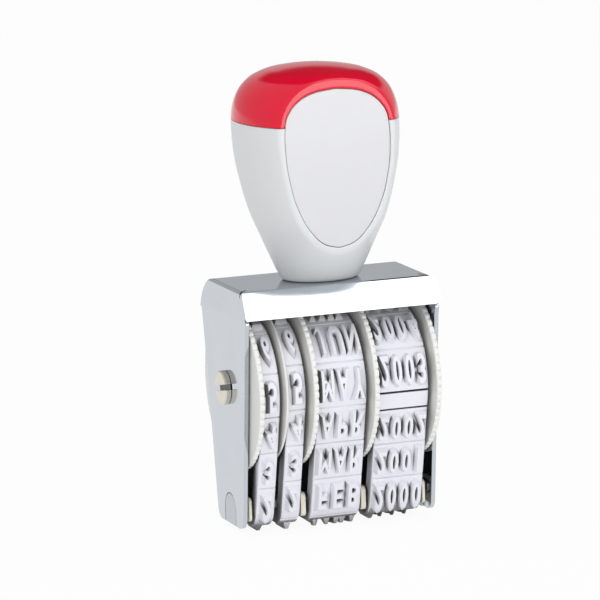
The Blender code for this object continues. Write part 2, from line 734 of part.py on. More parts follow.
def face_slab(name, inset):
    """The space between the handle's two flattened faces, each drawn in by inset."""
    low = -OVERRUN
    high = HANDLE_HEIGHT + OVERRUN
    front = []
    for step in range(FACE_LEVELS + 1):
        rise = low + (high - low) * step / FACE_LEVELS
        bow = FACE_BOW * ((rise - FACE_MIDDLE) / FACE_REACH) ** 2
        front.append((FACE_DEPTH - bow - inset, PLATE_Z + rise))
    outline = front + [(-y, z) for y, z in reversed(front)]
    reach = HANDLE_HALF_WIDTH + OVERRUN
    return prism_x(name, outline, -reach, reach, HANDLE_PLACE)


def handle_form(name, low, high, inset, levels=HANDLE_LEVELS, sides=HANDLE_SIDES):
    """The egg shape between two shares of its height, with its front and back flattened."""
    shares = [low + (high - low) * step / levels for step in range(levels + 1)]
    sections = [egg_section(share, inset, sides) for share in shares]
    form = rings(name, sections, HANDLE_PLACE)
    return combine(form, face_slab(name + "_faces", inset), "INTERSECT")


def panel_outline(grow):
    """The egg-shaped outline of a face panel, (x, z), made larger by grow."""
    span = PANEL_TOP - PANEL_FOOT
    side = []
    for share, wide in PANEL_SHARES:
        side.append((PANEL_HALF_WIDTH * wide, PLATE_Z + PANEL_FOOT + span * share))
    outline = side + [(-x, z) for x, z in reversed(side[1:-1])]
    grown = []
    count = len(outline)
    for index, point in enumerate(outline):
        before = Vector(outline[index - 1])
        after = Vector(outline[(index + 1) % count])
        normal = (after - before).normalized()
        grown.append((point[0] + normal.y * grow, point[1] - normal.x * grow))
    return grown


def face_panel(name, side):
    """The thin insert in the front or back of the handle, following the flattened face."""
    part = handle_form(name, *PANEL_FORM_SHARES, PANEL_SINK)
    combine(part, face_slab(name + "_core", PANEL_SINK + PANEL_THICKNESS), "DIFFERENCE")
    reach = FACE_DEPTH + OVERRUN
    depth = sorted((0, side * reach))
    window = prism_y(name + "_window", panel_outline(0), depth[0], depth[1], HANDLE_PLACE)
    combine(part, window, "INTERSECT")
    return dress(part, "panel_plastic", 30)


def panel_pocket(target):
    """Cut the seats of both face panels out of a part of the handle."""
    sink = PANEL_SINK + PANEL_THICKNESS + SEAT_GAP
    reach = FACE_DEPTH + OVERRUN
    for side in (-1, 1):
        depth = sorted((0, side * reach))
        pocket = prism_y("pocket", panel_outline(SEAT_GAP), depth[0], depth[1], HANDLE_PLACE)
        combine(pocket, face_slab("pocket_core", sink), "DIFFERENCE")
        combine(target, pocket, "DIFFERENCE")


def handle_shell():
    """The white body of the handle: hollow, open at the top, with a boss for the insert."""
    cap_share = CAP_LINE / HANDLE_HEIGHT
    part = handle_form("handle_shell", 0, cap_share, 0)
    floor_share = SHELL_FLOOR / HANDLE_HEIGHT
    inset = HANDLE_WALL + PANEL_THICKNESS
    mouth_share = (CAP_LINE + OVERRUN) / HANDLE_HEIGHT
    hollow = handle_form(
        "shell_hollow", floor_share, mouth_share, inset, HOLLOW_LEVELS, HOLLOW_SIDES)
    combine(part, hollow, "DIFFERENCE")
    panel_pocket(part)
    bore = INSERT_RADIUS + SEAT_GAP
    low = PLATE_Z + SEAT_GAP + INSERT_RISE
    wide = ((low, bore), (PLATE_Z + SHELL_FLOOR + OVERRUN, bore))
    combine(part, round_z("insert_bore", wide, BORE_SIDES, HANDLE_PLACE), "DIFFERENCE")
    entry = SCREW_RADIUS + SEAT_GAP
    narrow = ((PLATE_Z - OVERRUN, entry), (PLATE_Z + SHELL_FLOOR, entry))
    combine(part, round_z("screw_entry", narrow, BORE_SIDES, HANDLE_PLACE), "DIFFERENCE")
    return dress(part, "white_plastic", 30)


def handle_cap():
    """The red cap: closed top, hollow underneath."""
    cap_share = (CAP_LINE + SEAT_GAP) / HANDLE_HEIGHT
    part = handle_form("handle_cap", cap_share, CROWN_SHARE, 0)
    inset = HANDLE_WALL + PANEL_THICKNESS
    top_share = (HANDLE_HEIGHT - CAP_FLOOR - HANDLE_WALL) / HANDLE_HEIGHT
    mouth_share = (CAP_LINE - OVERRUN) / HANDLE_HEIGHT
    hollow = handle_form(
        "cap_hollow", mouth_share, top_share, inset, HOLLOW_LEVELS, HOLLOW_SIDES)
    combine(part, hollow, "DIFFERENCE")
    panel_pocket(part)
    return dress(part, "red_plastic", 30)


def handle_fastening():
    """Screw and washer under the plate, and the brass insert in the handle's base."""
    washer_top = PLATE_Z - SHEET - SEAT_GAP
    washer_low = washer_top - WASHER_THICKNESS
    disc = ((washer_low, WASHER_RADIUS), (washer_top, WASHER_RADIUS))
    washer = round_z("handle_washer", disc, HEAD_SIDES, HANDLE_PLACE)
    hole = SCREW_RADIUS + SEAT_GAP
    ends = ((washer_low - OVERRUN, hole), (washer_top + OVERRUN, hole))
    combine(washer, round_z("washer_hole", ends, BORE_SIDES, HANDLE_PLACE), "DIFFERENCE")
    dress(washer, "zinc_steel", 30)

    head_top = washer_low - SEAT_GAP
    head_low = head_top - SCREW_HEAD_THICKNESS
    insert_low = PLATE_Z + 2 * SEAT_GAP + INSERT_RISE
    insert_top = insert_low + INSERT_LENGTH
    tip = insert_top - SCREW_TIP_GAP
    profile = (
        (head_low, SCREW_HEAD_RADIUS - HEAD_EDGE), (head_low + HEAD_EDGE, SCREW_HEAD_RADIUS),
        (head_top, SCREW_HEAD_RADIUS), (head_top, SCREW_RADIUS), (tip, SCREW_RADIUS))
    screw = round_z("handle_screw", profile, HEAD_SIDES, HANDLE_PLACE)
    for turned in (False, True):
        half_x = CROSS_WIDTH / 2 if turned else CROSS_LENGTH / 2
        half_y = CROSS_LENGTH / 2 if turned else CROSS_WIDTH / 2
        cross = block(
            "cross", (-half_x, -half_y, head_low - OVERRUN), (half_x, half_y, head_low + CROSS_DEPTH),
            HANDLE_PLACE)
        combine(screw, cross, "DIFFERENCE")
    dress(screw, "zinc_steel", 30)

    tube = ((insert_low, INSERT_RADIUS), (insert_top, INSERT_RADIUS))
    insert = round_z("handle_insert", tube, HEAD_SIDES, HANDLE_PLACE)
    ends = ((insert_low - OVERRUN, hole), (insert_top + OVERRUN, hole))
    combine(insert, round_z("insert_hole", ends, BORE_SIDES, HANDLE_PLACE), "DIFFERENCE")
    dress(insert, "brass", 30)


def main():
    for item in list(bpy.data.objects):
        bpy.data.objects.remove(item)
    places = stack_places()
    frame()
    axle()
    axle_nut()
    thumb_wheels(places)
    names = ("band_day_tens", "band_day_units", "band_month", "band_year")
    for index, name in enumerate(names):
        left, right = places["band_%d" % (index + 1)]
        seam = YEAR_SEAM_LENGTH if name == "band_year" else 0
        band(name, left, right, seam, BAND_PHASES[index], (0, 0, AXLE_Z))
    platen()
    band_guides(places)
    handle_shell()
    handle_cap()
    face_panel("face_plate_front", -1)
    face_panel("face_plate_rear", 1)
    handle_fastening()


main()
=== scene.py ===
"""Looks of a hand date stamp: sheet frame, thumb wheels, rubber date bands and moulded handle.

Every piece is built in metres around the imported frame, in the frame's own axes:
X along the axle, -Y the front, +Z up, the printing face on Z = 0.
"""

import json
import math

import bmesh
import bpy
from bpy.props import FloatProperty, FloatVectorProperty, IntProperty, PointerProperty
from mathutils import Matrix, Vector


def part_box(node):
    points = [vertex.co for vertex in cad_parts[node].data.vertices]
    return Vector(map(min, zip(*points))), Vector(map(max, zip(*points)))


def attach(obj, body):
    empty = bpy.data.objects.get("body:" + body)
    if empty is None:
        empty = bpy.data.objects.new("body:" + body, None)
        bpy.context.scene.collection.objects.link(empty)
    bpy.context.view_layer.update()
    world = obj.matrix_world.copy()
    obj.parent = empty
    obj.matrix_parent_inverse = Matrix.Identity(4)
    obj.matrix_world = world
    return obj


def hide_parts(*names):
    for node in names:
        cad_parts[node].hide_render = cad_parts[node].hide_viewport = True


bl_info = {
    "name": "Date stamp",
    "version": (1, 0, 0),
    "blender": (4, 5, 0),
    "location": "3D View > Sidebar > Date stamp",
    "description": "Builds the finished look of a hand date stamp, piece by piece",
    "category": "Object",
}

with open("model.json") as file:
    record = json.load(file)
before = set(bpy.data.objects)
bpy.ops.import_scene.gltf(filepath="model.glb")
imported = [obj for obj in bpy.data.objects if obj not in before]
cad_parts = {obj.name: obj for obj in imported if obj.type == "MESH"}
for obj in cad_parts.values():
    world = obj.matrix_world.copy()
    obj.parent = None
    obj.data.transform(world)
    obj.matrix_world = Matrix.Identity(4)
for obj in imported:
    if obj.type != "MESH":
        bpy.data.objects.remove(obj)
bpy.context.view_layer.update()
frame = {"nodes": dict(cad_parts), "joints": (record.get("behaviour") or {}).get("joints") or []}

MM = 0.001
ROOT = "stamp"
AXLE_Z = frame["joints"][0]["pos_m"][2]
FRAME_LOW, FRAME_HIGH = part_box("frame")

# Each band: its node, the words of its cells from the printing one on, and how far that one
# stands in front of the middle
BANDS = (
    ("band_day_tens", tuple("1234567890"), 0.5 * MM),
    ("band_day_units", tuple("1234567890"), 1.4 * MM),
    ("band_month", tuple("JAN FEB MAR APR MAY JUN JUL AUG SEP OCT NOV DEC".split()), 1.25 * MM),
    ("band_year", tuple(str(year) for year in range(1999, 2012)), 0.5 * MM),
)
# The year band is joined after its fourth cell
SEAM_CELL = 4
# The slot is left where the screw came tight, a little up towards the front
SLOT_TURN = math.radians(-11)

# The egg of the handle in shares of its height, half width and half depth
HANDLE_SHARES = (
    (0.000, 0.474, 0.313), (0.028, 0.515, 0.375), (0.111, 0.603, 0.540),
    (0.222, 0.717, 0.730), (0.305, 0.800, 0.860), (0.388, 0.863, 0.930),
    (0.471, 0.917, 0.965), (0.554, 0.962, 0.990), (0.637, 0.987, 1.000),
    (0.720, 0.998, 0.990), (0.776, 0.997, 0.960), (0.831, 0.973, 0.905),
    (0.886, 0.912, 0.825), (0.928, 0.816, 0.738), (0.956, 0.698, 0.645),
    (0.983, 0.463, 0.440), (1.000, 0.000, 0.000),
)
# Columns of that table, and of the next one
WIDTH, DEPTH = 1, 2
# Above this share of its height the handle closes in a round crown
CROWN = 0.983
# Half the outline of a face plate in shares of its height, from its foot, and half width
PANEL_SHARES = (
    (0.000, 0.00), (0.018, 0.22), (0.050, 0.375), (0.100, 0.51), (0.170, 0.655),
    (0.265, 0.785), (0.340, 0.865), (0.455, 0.94), (0.545, 0.98), (0.690, 1.00),
    (0.790, 0.98), (0.833, 0.952), (0.873, 0.888), (0.916, 0.78), (0.957, 0.604),
    (0.985, 0.36), (1.000, 0.00),
)


def linear(code):
    """An sRGB hex colour as the linear red, green and blue that a shader takes."""
    parts = [int(code[at:at + 2], 16) / 255 for at in (0, 2, 4)]
    return tuple(p / 12.92 if p <= 0.04045 else ((p + 0.055) / 1.055) ** 2.4 for p in parts)


def length(label, words, size):
    """A size property, given in millimetres and kept in metres."""
    return FloatProperty(
        name=label, description=words, default=size * MM, min=0, unit="LENGTH", precision=5)


def colour(label, words, code):
    """A colour property from an sRGB hex value."""
    return FloatVectorProperty(
        name=label, description=words, default=linear(code), subtype="COLOR", size=3, min=0, max=1)


class StampBandSizes(bpy.types.PropertyGroup):
    """Sizes of the rubber bands and the loop that they follow."""
    loop_radius: length("Loop radius", "Inner face of a band on its drum", 9.2)
    platen_drop: length("Platen drop", "Axle to the inner face of a band under the platen", 20.8)
    flat_half: length("Flat half", "Half of the flat stretch under the platen", 3.0)
    corner_radius: length("Corner radius", "Inner face of a band at the platen's corners", 1.2)
    cord: length("Cord height", "Height of the cord that keeps its length, from the inner face", 0.8)
    plinth: length("Plinth", "Thickness of the rubber under the characters", 2.4)
    rise: length("Rise", "How far the characters stand out", 1.0)
    height: length("Character height", "Height of a character at its foot", 4.9)
    groove: length("Groove", "Width of the groove between two cells", 0.32)
    groove_depth: length("Groove depth", "Depth of that groove", 0.16)
    seam_depth: length("Seam groove depth", "Depth of the grooves beside the seam", 0.9)
    edge: length("Edge", "Bevel along a band's two sides", 0.14)
    seam: length("Seam", "Blank strip where the year band is joined", 2.8)
    cells: IntProperty(name="Cells", description="Cells round a band", default=13, min=3)


class StampWheelSizes(bpy.types.PropertyGroup):
    """Sizes of the thumb wheels."""
    radius: length("Disc radius", "To the tips of the teeth", 14.1)
    thickness: length("Disc thickness", "Width of the toothed edge", 0.85)
    tooth_depth: length("Tooth depth", "Tip to root", 0.42)
    rim_radius: length("Rim radius", "Plain rim of the second wheel", 13.1)
    rim_thickness: length("Rim thickness", "Width of that rim", 0.4)
    drum_radius: length("Drum radius", "The drum under the band", 8.9)
    bore_radius: length("Bore radius", "Hole on the axle", 1.65)
    edge: length("Edge", "Rounding of the disc's two edges", 0.12)
    teeth: IntProperty(name="Teeth", description="Teeth round a disc", default=66, min=8)


class StampFrameSizes(bpy.types.PropertyGroup):
    """Sizes of the folded sheet, its axle and its platen."""
    sheet: length("Sheet", "Thickness of the steel", 0.7)
    plate_half_depth: length("Plate half depth", "Middle to the front fold", 7.5)
    apron_height: length("Apron height", "Axle to the apron's lower edge", 12.85)
    waist_half: length("Waist half", "Half depth of a cheek at the axle", 9.3)
    foot_half: length("Foot half", "Half depth of a cheek at its foot", 6.2)
    bend: length("Bend", "Outer radius of the folds", 0.6)
    lean: length("Lean", "How far the left cheek leans in above the apron's lower edge", 0.7)
    overhang: length("Overhang", "How far the front apron passes the right cheek", 0.6)
    shoulder: length("Shoulder", "Outer radius of the rear fold", 4.6)
    front_reach: length("Front reach", "Middle to the lower edge of the front apron", 11.6)
    rear_reach: length("Rear reach", "Middle to the rear apron's outer face", 12.1)
    rear_height: length("Rear height", "Axle to the rear apron's lower edge", 11.7)
    edge: length("Edge", "Break of the cut edges", 0.09)
    axle_radius: length("Axle radius", "Shaft through the cheeks", 1.5)
    head_radius: length("Head radius", "Slotted heads outside the cheeks", 2.85)
    slot: length("Slot", "Width of the screwdriver slot", 0.95)
    lug_radius: length("Lug radius", "Round top of the platen's lugs", 2.62)
    lug_centre: length("Lug centre", "Axle down to the middle of the lugs", 20.6)
    bar: length("Bar", "Height of the platen's bar", 1.6)


class StampHandleSizes(bpy.types.PropertyGroup):
    """Sizes of the handle, heights from the top plate."""
    shift: length("Shift", "The handle's middle to the right of the frame's", 0.15)
    height: length("Height", "Top plate to the crown", 35.85)
    half_width: length("Half width", "Widest section, side to side", 13.6)
    half_depth: length("Half depth", "Widest section before its faces are flattened", 16.6)
    face_depth: length("Face depth", "Middle to the flattened front", 11.1)
    face_bow: length("Face bow", "How far the flat faces fall back at their ends", 0.8)
    face_middle: length("Face middle", "Height of a face's foremost line", 20.5)
    face_reach: length("Face reach", "Height over which a face falls back by its bow", 14.0)
    crease: length("Crease", "Softness of the edge round the flat faces", 0.5)
    seat: length("Seat", "Gap between the top plate and the foot", 0.03)
    foot_round: length("Foot rounding", "Radius of the foot's edge", 0.4)
    cap_line: length("Cap line", "Parting line of the cap", 27.0)
    panel_half_width: length("Plate half width", "Widest part of a face plate", 9.1)
    panel_foot: length("Plate foot", "Foot of a face plate", 6.5)
    panel_top: length("Plate top", "Top of a face plate", 32.8)
    panel_sink: length("Plate sink", "How far a face plate lies behind its rim", 0.12)
    lip: length("Lip", "Rounding of the edges at a joint", 0.12)
    joint: length("Joint", "Open joint between two mouldings", 0.10)
    wall: length("Wall", "Depth of the joint's walls", 1.2)


class StampColours(bpy.types.PropertyGroup):
    """Colours of the finishes."""
    nickel: colour("Nickel", "Nickel-plated sheet", "C9CED4")
    turned: colour("Turned steel", "Turned and plated axle", "E6E1D6")
    zinc: colour("Zinc", "Zinc-plated steel", "D0D3D7")
    brass: colour("Brass", "Turned brass", "C9A85C")
    wheel: colour("Wheel", "Moulded wheel plastic", "EAE9E5")
    rubber: colour("Rubber", "Moulded band rubber", "EBEAF0")
    guide: colour("Guide", "Moulded guide plastic", "F2EDDC")
    white: colour("Handle", "Moulded handle body", "DDDEDE")
    panel: colour("Face plate", "Moulded face plate", "D8D7D9")
    red: colour("Cap", "Moulded cap", "E2022E")
    floor: colour("Floor", "Plain floor", "F4F4F4")


def bands():
    return bpy.context.scene.stamp_bands


def wheels():
    return bpy.context.scene.stamp_wheels


def sheet():
    return bpy.context.scene.stamp_frame


def handle():
    return bpy.context.scene.stamp_handle


def colours():
    return bpy.context.scene.stamp_colours


# Mesh helpers


def new_piece(name, mesh):
    """An object in the scene from a mesh or a curve."""
    piece = bpy.data.objects.new(name, mesh)
    bpy.context.scene.collection.objects.link(piece)
    return piece


def mesh_from(name, points, faces, merge=0):
    """A mesh with its faces turned outwards, and points within a merge distance joined."""
    mesh = bpy.data.meshes.new(name)
    mesh.from_pydata([tuple(point) for point in points], [], faces)
    work = bmesh.new()
    work.from_mesh(mesh)
    if merge:
        bmesh.ops.remove_doubles(work, verts=work.verts, dist=merge)
        bmesh.ops.dissolve_degenerate(work, edges=work.edges, dist=merge / 2)
    bmesh.ops.recalc_face_normals(work, faces=work.faces)
    work.to_mesh(mesh)
    work.free()
    return mesh


def skin(sections, closed=False):
    """Points and faces through a row of closed sections, capped at both ends or joined round."""
    count = len(sections[0])
    points = [point for section in sections for point in section]
    faces = []
    turns = len(sections) if closed else len(sections) - 1
    for ring in range(turns):
        low = ring * count
        high = (ring + 1) % len(sections) * count
        for side in range(count):
            after = (side + 1) % count
            faces.append((low + side, low + after, high + after, high + side))
    if not closed:
        faces.append(tuple(range(count)))
        faces.append(tuple(range(len(points) - count, len(points))))
    return points, faces


def prism_x(name, outline, left, right):
    """An outline of (y, z) points pushed along X."""
    sections = [[(x, y, z) for y, z in outline] for x in (left, right)]
    return new_piece(name, mesh_from(name, *skin(sections)))


def prism_y(name, outline, front, back):
    """An outline of (x, z) points pushed along Y."""
    sections = [[(x, y, z) for x, z in outline] for y in (front, back)]
    return new_piece(name, mesh_from(name, *skin(sections)))


def turned(name, profile, sides, axis, place):
    """A turned solid from (distance along the axis, radius) pairs."""
    sections = []
    for along, radius in profile:
        section = []
        for step in range(sides):
            angle = math.tau * step / sides
            across, up = radius * math.cos(angle), radius * math.sin(angle)
            point = Vector((along, across, up)) if axis == "X" else Vector((across, up, along))
            section.append(point + Vector(place))
        sections.append(section)
    return new_piece(name, mesh_from(name, *skin(sections)))


def box_piece(name, low, high):
    """A box between two corners."""
    outline = [(low[1], low[2]), (high[1], low[2]), (high[1], high[2]), (low[1], high[2])]
    return prism_x(name, outline, low[0], high[0])


def settle(piece):
    """Apply the piece's modifiers."""
    bpy.context.view_layer.update()
    graph = bpy.context.evaluated_depsgraph_get()
    mesh = bpy.data.meshes.new_from_object(piece.evaluated_get(graph))
    piece.modifiers.clear()
    piece.data = mesh


def combine(piece, tool, operation="DIFFERENCE"):
    """Cut a piece by a tool, or join or intersect the two; the tool is used up."""
    modifier = piece.modifiers.new("cut", "BOOLEAN")
    modifier.operation = operation
    modifier.solver = "EXACT"
    modifier.object = tool
    settle(piece)
    bpy.data.objects.remove(tool)


def soften(piece, width, angle):
    """Break the edges sharper than an angle by a small bevel."""
    modifier = piece.modifiers.new("edge", "BEVEL")
    modifier.width = width
    modifier.segments = 2
    modifier.limit_method = "ANGLE"
    modifier.angle_limit = math.radians(angle)
    settle(piece)


def shade(piece, angle, weighted=False):
    """Smooth shading up to an angle; weighted keeps flat faces flat beside their rounded edges."""
    piece.data.shade_smooth()
    piece.data.set_sharp_from_angle(angle=math.radians(angle))
    if weighted:
        modifier = piece.modifiers.new("flat", "WEIGHTED_NORMAL")
        modifier.keep_sharp = True
        settle(piece)


def place_piece(piece, body, material, slot, *nodes):
    """Give a piece its finish, its body and the nodes that it stands for."""
    piece.data.materials.clear()
    piece.data.materials.append(material)
    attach(piece, body)
    if nodes:
        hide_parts(*nodes)


def rounded(corners, radii, steps=6):
    """A closed outline with each corner replaced by an arc of its own radius."""
    outline = []
    count = len(corners)
    for index, corner in enumerate(corners):
        radius = radii[index]
        here = Vector(corner)
        before = (Vector(corners[index - 1]) - here).normalized()
        after = (Vector(corners[(index + 1) % count]) - here).normalized()
        if radius <= 0:
            outline.append(tuple(here))
            continue
        half = before.angle(after) / 2
        centre = here + (before + after).normalized() * (radius / math.sin(half))
        start = here + before * (radius / math.tan(half)) - centre
        end = here + after * (radius / math.tan(half)) - centre
        sweep = start.angle_signed(end)
        for step in range(steps + 1):
            turn = -sweep * step / steps
            spoke = Vector((
                start.x * math.cos(turn) - start.y * math.sin(turn),
                start.x * math.sin(turn) + start.y * math.cos(turn)))
            outline.append(tuple(centre + spoke))
    return outline


# Materials

# Sockets of a colour mix: its two colours and its result
MIX_FROM, MIX_TO, MIXED = 6, 7, 2
# Most of a noise lies between these values
NOISE_LOW, NOISE_HIGH = 0.3, 0.7


def add(tree, kind, inputs=None, **settings):
    """Add a shader node with its settings.

    Each input is a value, a socket to link, or a node whose first output is linked.
    """
    node = tree.nodes.new("ShaderNode" + kind)
    for key, value in settings.items():
        setattr(node, key, value)
    for key, value in (inputs or {}).items():
        if isinstance(value, bpy.types.Node):
            value = value.outputs[0]
        if isinstance(value, bpy.types.NodeSocket):
            tree.links.new(value, node.inputs[key])
        else:
            node.inputs[key].default_value = value
    return node


def blank(name):
    """A material with an empty node tree."""
    material = bpy.data.materials.new(name)
    material.use_nodes = True
    material.node_tree.nodes.clear()
    return material, material.node_tree


def begin(name, patch, detail, dark, light):
    """Start a finish with soft patches of a size, over which its tone runs from dark to light."""
    material, tree = blank(name)
    where = add(tree, "TexCoord").outputs["Object"]
    patches = add(tree, "TexNoise", {"Vector": where, "Scale": 1 / patch, "Detail": detail})
    tone = add(tree, "Mix", {
        0: patches, MIX_FROM: (*linear(dark), 1), MIX_TO: (*light, 1)}, data_type="RGBA")
    return material, where, patches, tone.outputs[MIXED]


def finish(material, where, patches, tone, rough, inputs, relief=None, grain=None, height=None):
    """End a finish: its roughness follows the patches, and a relief is cut in.

    The relief is a depth and a strength. Its height is a noise, given as a grain's size and
    detail, or another pattern.
    """
    tree = material.node_tree
    spread = add(tree, "MapRange", {
        "Value": patches, "From Min": NOISE_LOW, "From Max": NOISE_HIGH,
        "To Min": rough[0], "To Max": rough[1]})
    inputs = {"Base Color": tone, "Roughness": spread, **inputs}
    if grain:
        height = add(tree, "TexNoise", {"Vector": where, "Scale": 1 / grain[0], "Detail": grain[1]})
    if relief:
        inputs["Normal"] = add(tree, "Bump", {
            "Height": height, "Distance": relief[0], "Strength": relief[1]})
    shader = add(tree, "BsdfPrincipled", inputs)
    add(tree, "OutputMaterial", {"Surface": shader})
    return material


def soiled(tree, tone, shade_colour, reach, low, high, **settings):
    """A tone with painted shade in the hollows: darker towards a shade colour where walls stand within a
    reach.
    """
    hollow = add(tree, "AmbientOcclusion", {"Distance": reach}, samples=8, **settings)
    openness = add(tree, "MapRange", {
        "Value": hollow.outputs["AO"], "From Min": low, "From Max": high}, interpolation_type="SMOOTHSTEP")
    mixed = add(tree, "Mix", {
        0: openness, MIX_FROM: (*linear(shade_colour), 1), MIX_TO: tone}, data_type="RGBA")
    return mixed.outputs[MIXED]


def from_axle(tree, where):
    """A place measured from the axle's middle, and its distance from the axle's line."""
    middle = add(tree, "VectorMath", {0: where, 1: (0, 0, AXLE_Z)}, operation="SUBTRACT")
    across = add(tree, "VectorMath", {0: middle, 1: (0, 1, 1)}, operation="MULTIPLY")
    far = add(tree, "VectorMath", {0: across}, operation="LENGTH")
    return middle, far.outputs["Value"]


def nickel_sheet():
    """Nickel-plated cold-rolled steel: a bright soft mirror with rolling lines and faint handling haze."""
    # Handling haze in patches of about 6 mm
    material, where, haze, tone = begin(
        "nickel_plated_rolled_steel", 6 * MM, 3.0, "BFC4CB", colours().nickel)
    tree = material.node_tree
    # Rolling lines run along the axle, drawn out from a noise; real ones are finer, and 0.3 mm
    # is the least that shows
    along = add(tree, "Mapping", {"Vector": where, "Scale": (0.06, 1.0, 1.0)})
    lines = add(tree, "TexNoise", {
        "Vector": along, "Scale": 1 / (0.3 * MM), "Detail": 2.0})
    return finish(
        material, where, haze, tone, (0.08, 0.14), {"Metallic": 1.0},
        relief=(0.004 * MM, 0.35), height=lines)


def turned_steel():
    """Turned and plated steel: warm bright metal with fine tool rings round the axle."""
    material, where, haze, unshaded_tone = begin(
        "turned_nickel_plated_steel", 1.2 * MM, 2.0, "CBC5B6", colours().turned)
    tree = material.node_tree
    middle, far = from_axle(tree, where)
    # Tool rings are finer than this, and 0.35 mm apart is the least that shows
    turns = add(tree, "Math", {0: far, 1: math.tau / (0.35 * MM)}, operation="MULTIPLY")
    rings = add(tree, "Math", {0: turns}, operation="SINE")
    # Painted shade darkens the slot and the corner against the cheek, where the head's own walls stand
    # close
    shaded_head = soiled(tree, unshaded_tone, "2A2620", 0.9 * MM, 0.45, 0.9, only_local=True)
    # The slot itself is painted near black as shade, from just under the face inwards
    level = (0, -math.sin(SLOT_TURN), math.cos(SLOT_TURN))
    above = add(tree, "VectorMath", {0: middle, 1: level}, operation="DOT_PRODUCT")
    off = add(tree, "Math", {0: above.outputs["Value"]}, operation="ABSOLUTE")
    between = add(tree, "Math", {
        0: off, 1: sheet().slot / 2 + 0.03 * MM}, operation="LESS_THAN")
    along = add(tree, "SeparateXYZ", {"Vector": where})
    out = add(tree, "Math", {0: along.outputs["X"]}, operation="ABSOLUTE")
    face = min(-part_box("axle")[0].x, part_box("axle_nut")[1].x)
    under = add(tree, "Math", {0: out, 1: face - 0.12 * MM}, operation="LESS_THAN")
    slot_shade_mask = add(tree, "Math", {0: between, 1: under}, operation="MULTIPLY")
    tone = add(tree, "Mix", {
        0: slot_shade_mask, MIX_FROM: shaded_head, MIX_TO: (*linear("0E0C0A"), 1)}, data_type="RGBA")
    return finish(
        material, where, haze, tone.outputs[MIXED], (0.18, 0.30), {"Metallic": 1.0},
        relief=(0.004 * MM, 0.3), height=rings)


def zinc_steel():
    """Zinc-plated steel: grey satin metal with crystal blotches about 0.9 mm across."""
    base = begin("zinc_plated_steel", 0.9 * MM, 3.0, "B9BDC1", colours().zinc)
    return finish(*base, (0.30, 0.46), {"Metallic": 1.0}, (0.006 * MM, 0.4), (0.12 * MM, 2.0))


def black_steel():
    """Near black satin with an oily bloom: painted shade, for the plate that stands in for the dark inside
    the bands.
    """
    base = begin("painted_shade_black", 1.5 * MM, 3.0, "1C1B1A", linear("2C2A28"))
    return finish(*base, (0.42, 0.58), {"Specular IOR Level": 0.25})


def turned_brass():
    """Turned brass: yellow metal, satin from the tool."""
    base = begin("turned_brass", 0.8 * MM, 2.0, "A98A45", colours().brass)
    return finish(*base, (0.24, 0.38), {"Metallic": 1.0})


def wheel_acetal():
    """Moulded acetal: warm grey and satin, a shade lighter towards the tips of the teeth."""
    # Flow marks of the moulding about 3 mm long
    material, where, flow, body = begin("moulded_acetal_warm_grey", 3 * MM, 2.0, "E4E3DE", linear("E8E7E3"))
    tree = material.node_tree
    tip = wheels().radius
    towards_tips = add(tree, "MapRange", {
        "Value": from_axle(tree, where)[1], "From Min": tip - wheels().tooth_depth,
        "From Max": tip - 0.05 * MM}, interpolation_type="SMOOTHSTEP")
    tone = add(tree, "Mix", {
        0: towards_tips, MIX_FROM: body, MIX_TO: (*colours().wheel, 1)}, data_type="RGBA")
    return finish(
        material, where, flow, tone.outputs[MIXED], (0.38, 0.50), {"IOR": 1.48},
        (0.01 * MM, 0.4), (0.2 * MM, 3.0))


def band_rubber():
    """Moulded natural rubber: pale lavender white, matt and softly mottled, with the mould's grain."""
    # Clouding of the filler about 2 mm across
    material, where, cloud, unshaded_tone = begin(
        "moulded_natural_rubber_white", 2 * MM, 3.0, "E4E3EA", colours().rubber)
    tree = material.node_tree
    # Painted shade in the hollows of the type, within about 0.8 mm of a wall
    type_shaded = soiled(tree, unshaded_tone, "A9A8AE", 0.8 * MM, 0.25, 0.75, only_local=True)
    # Painted shade under the apron and close beside the discs, where other pieces within 4 mm hide the
    # rubber
    walls_shaded = soiled(tree, type_shaded, "3E3A35", 4 * MM, 0.20, 0.50)
    # A painted shadow darkens the highest 3 mm, behind the aprons' edges
    height = add(tree, "SeparateXYZ", {"Vector": where}).outputs["Z"]
    apron_shadow = add(tree, "MapRange", {
        "Value": height, "From Min": AXLE_Z + 9.6 * MM, "From Max": AXLE_Z + 12.4 * MM},
        interpolation_type="SMOOTHSTEP")
    tone = add(tree, "Mix", {
        0: apron_shadow, MIX_FROM: walls_shaded, MIX_TO: (*linear("7A756D"), 1)}, data_type="RGBA")
    return finish(
        material, where, cloud, tone.outputs[MIXED], (0.50, 0.64), {"IOR": 1.52},
        (0.012 * MM, 0.5), (0.15 * MM, 3.0))


def guide_nylon():
    """Moulded nylon: cream, satin, with soft flow marks about 2 mm long."""
    base = begin("moulded_nylon_cream", 2 * MM, 2.0, "E6DFCB", colours().guide)
    return finish(*base, (0.36, 0.48), {"IOR": 1.53})


def body_plastic():
    """Moulded ABS with a spark-eroded mould: pale grey, semi-matt, with a fine even pebble."""
    # The pebble of the eroded mould is about 0.1 mm, drawn at 0.3 mm to show
    base = begin("moulded_abs_grained_pale_grey", 6 * MM, 2.0, "D8D9D9", colours().white)
    return finish(*base, (0.34, 0.42), {"IOR": 1.53}, (0.02 * MM, 0.45), (0.3 * MM, 3.0))


def cap_plastic():
    """Polished ABS: a clear strong red with a wet gloss and a very slight ripple from the mould."""
    # Ripple of the polished mould, in waves of about 1.5 mm
    base = begin("moulded_abs_polished_red", 6 * MM, 2.0, "DB002B", colours().red)
    return finish(*base, (0.11, 0.15), {"IOR": 1.53}, (0.01 * MM, 0.4), (1.5 * MM, 1.0))


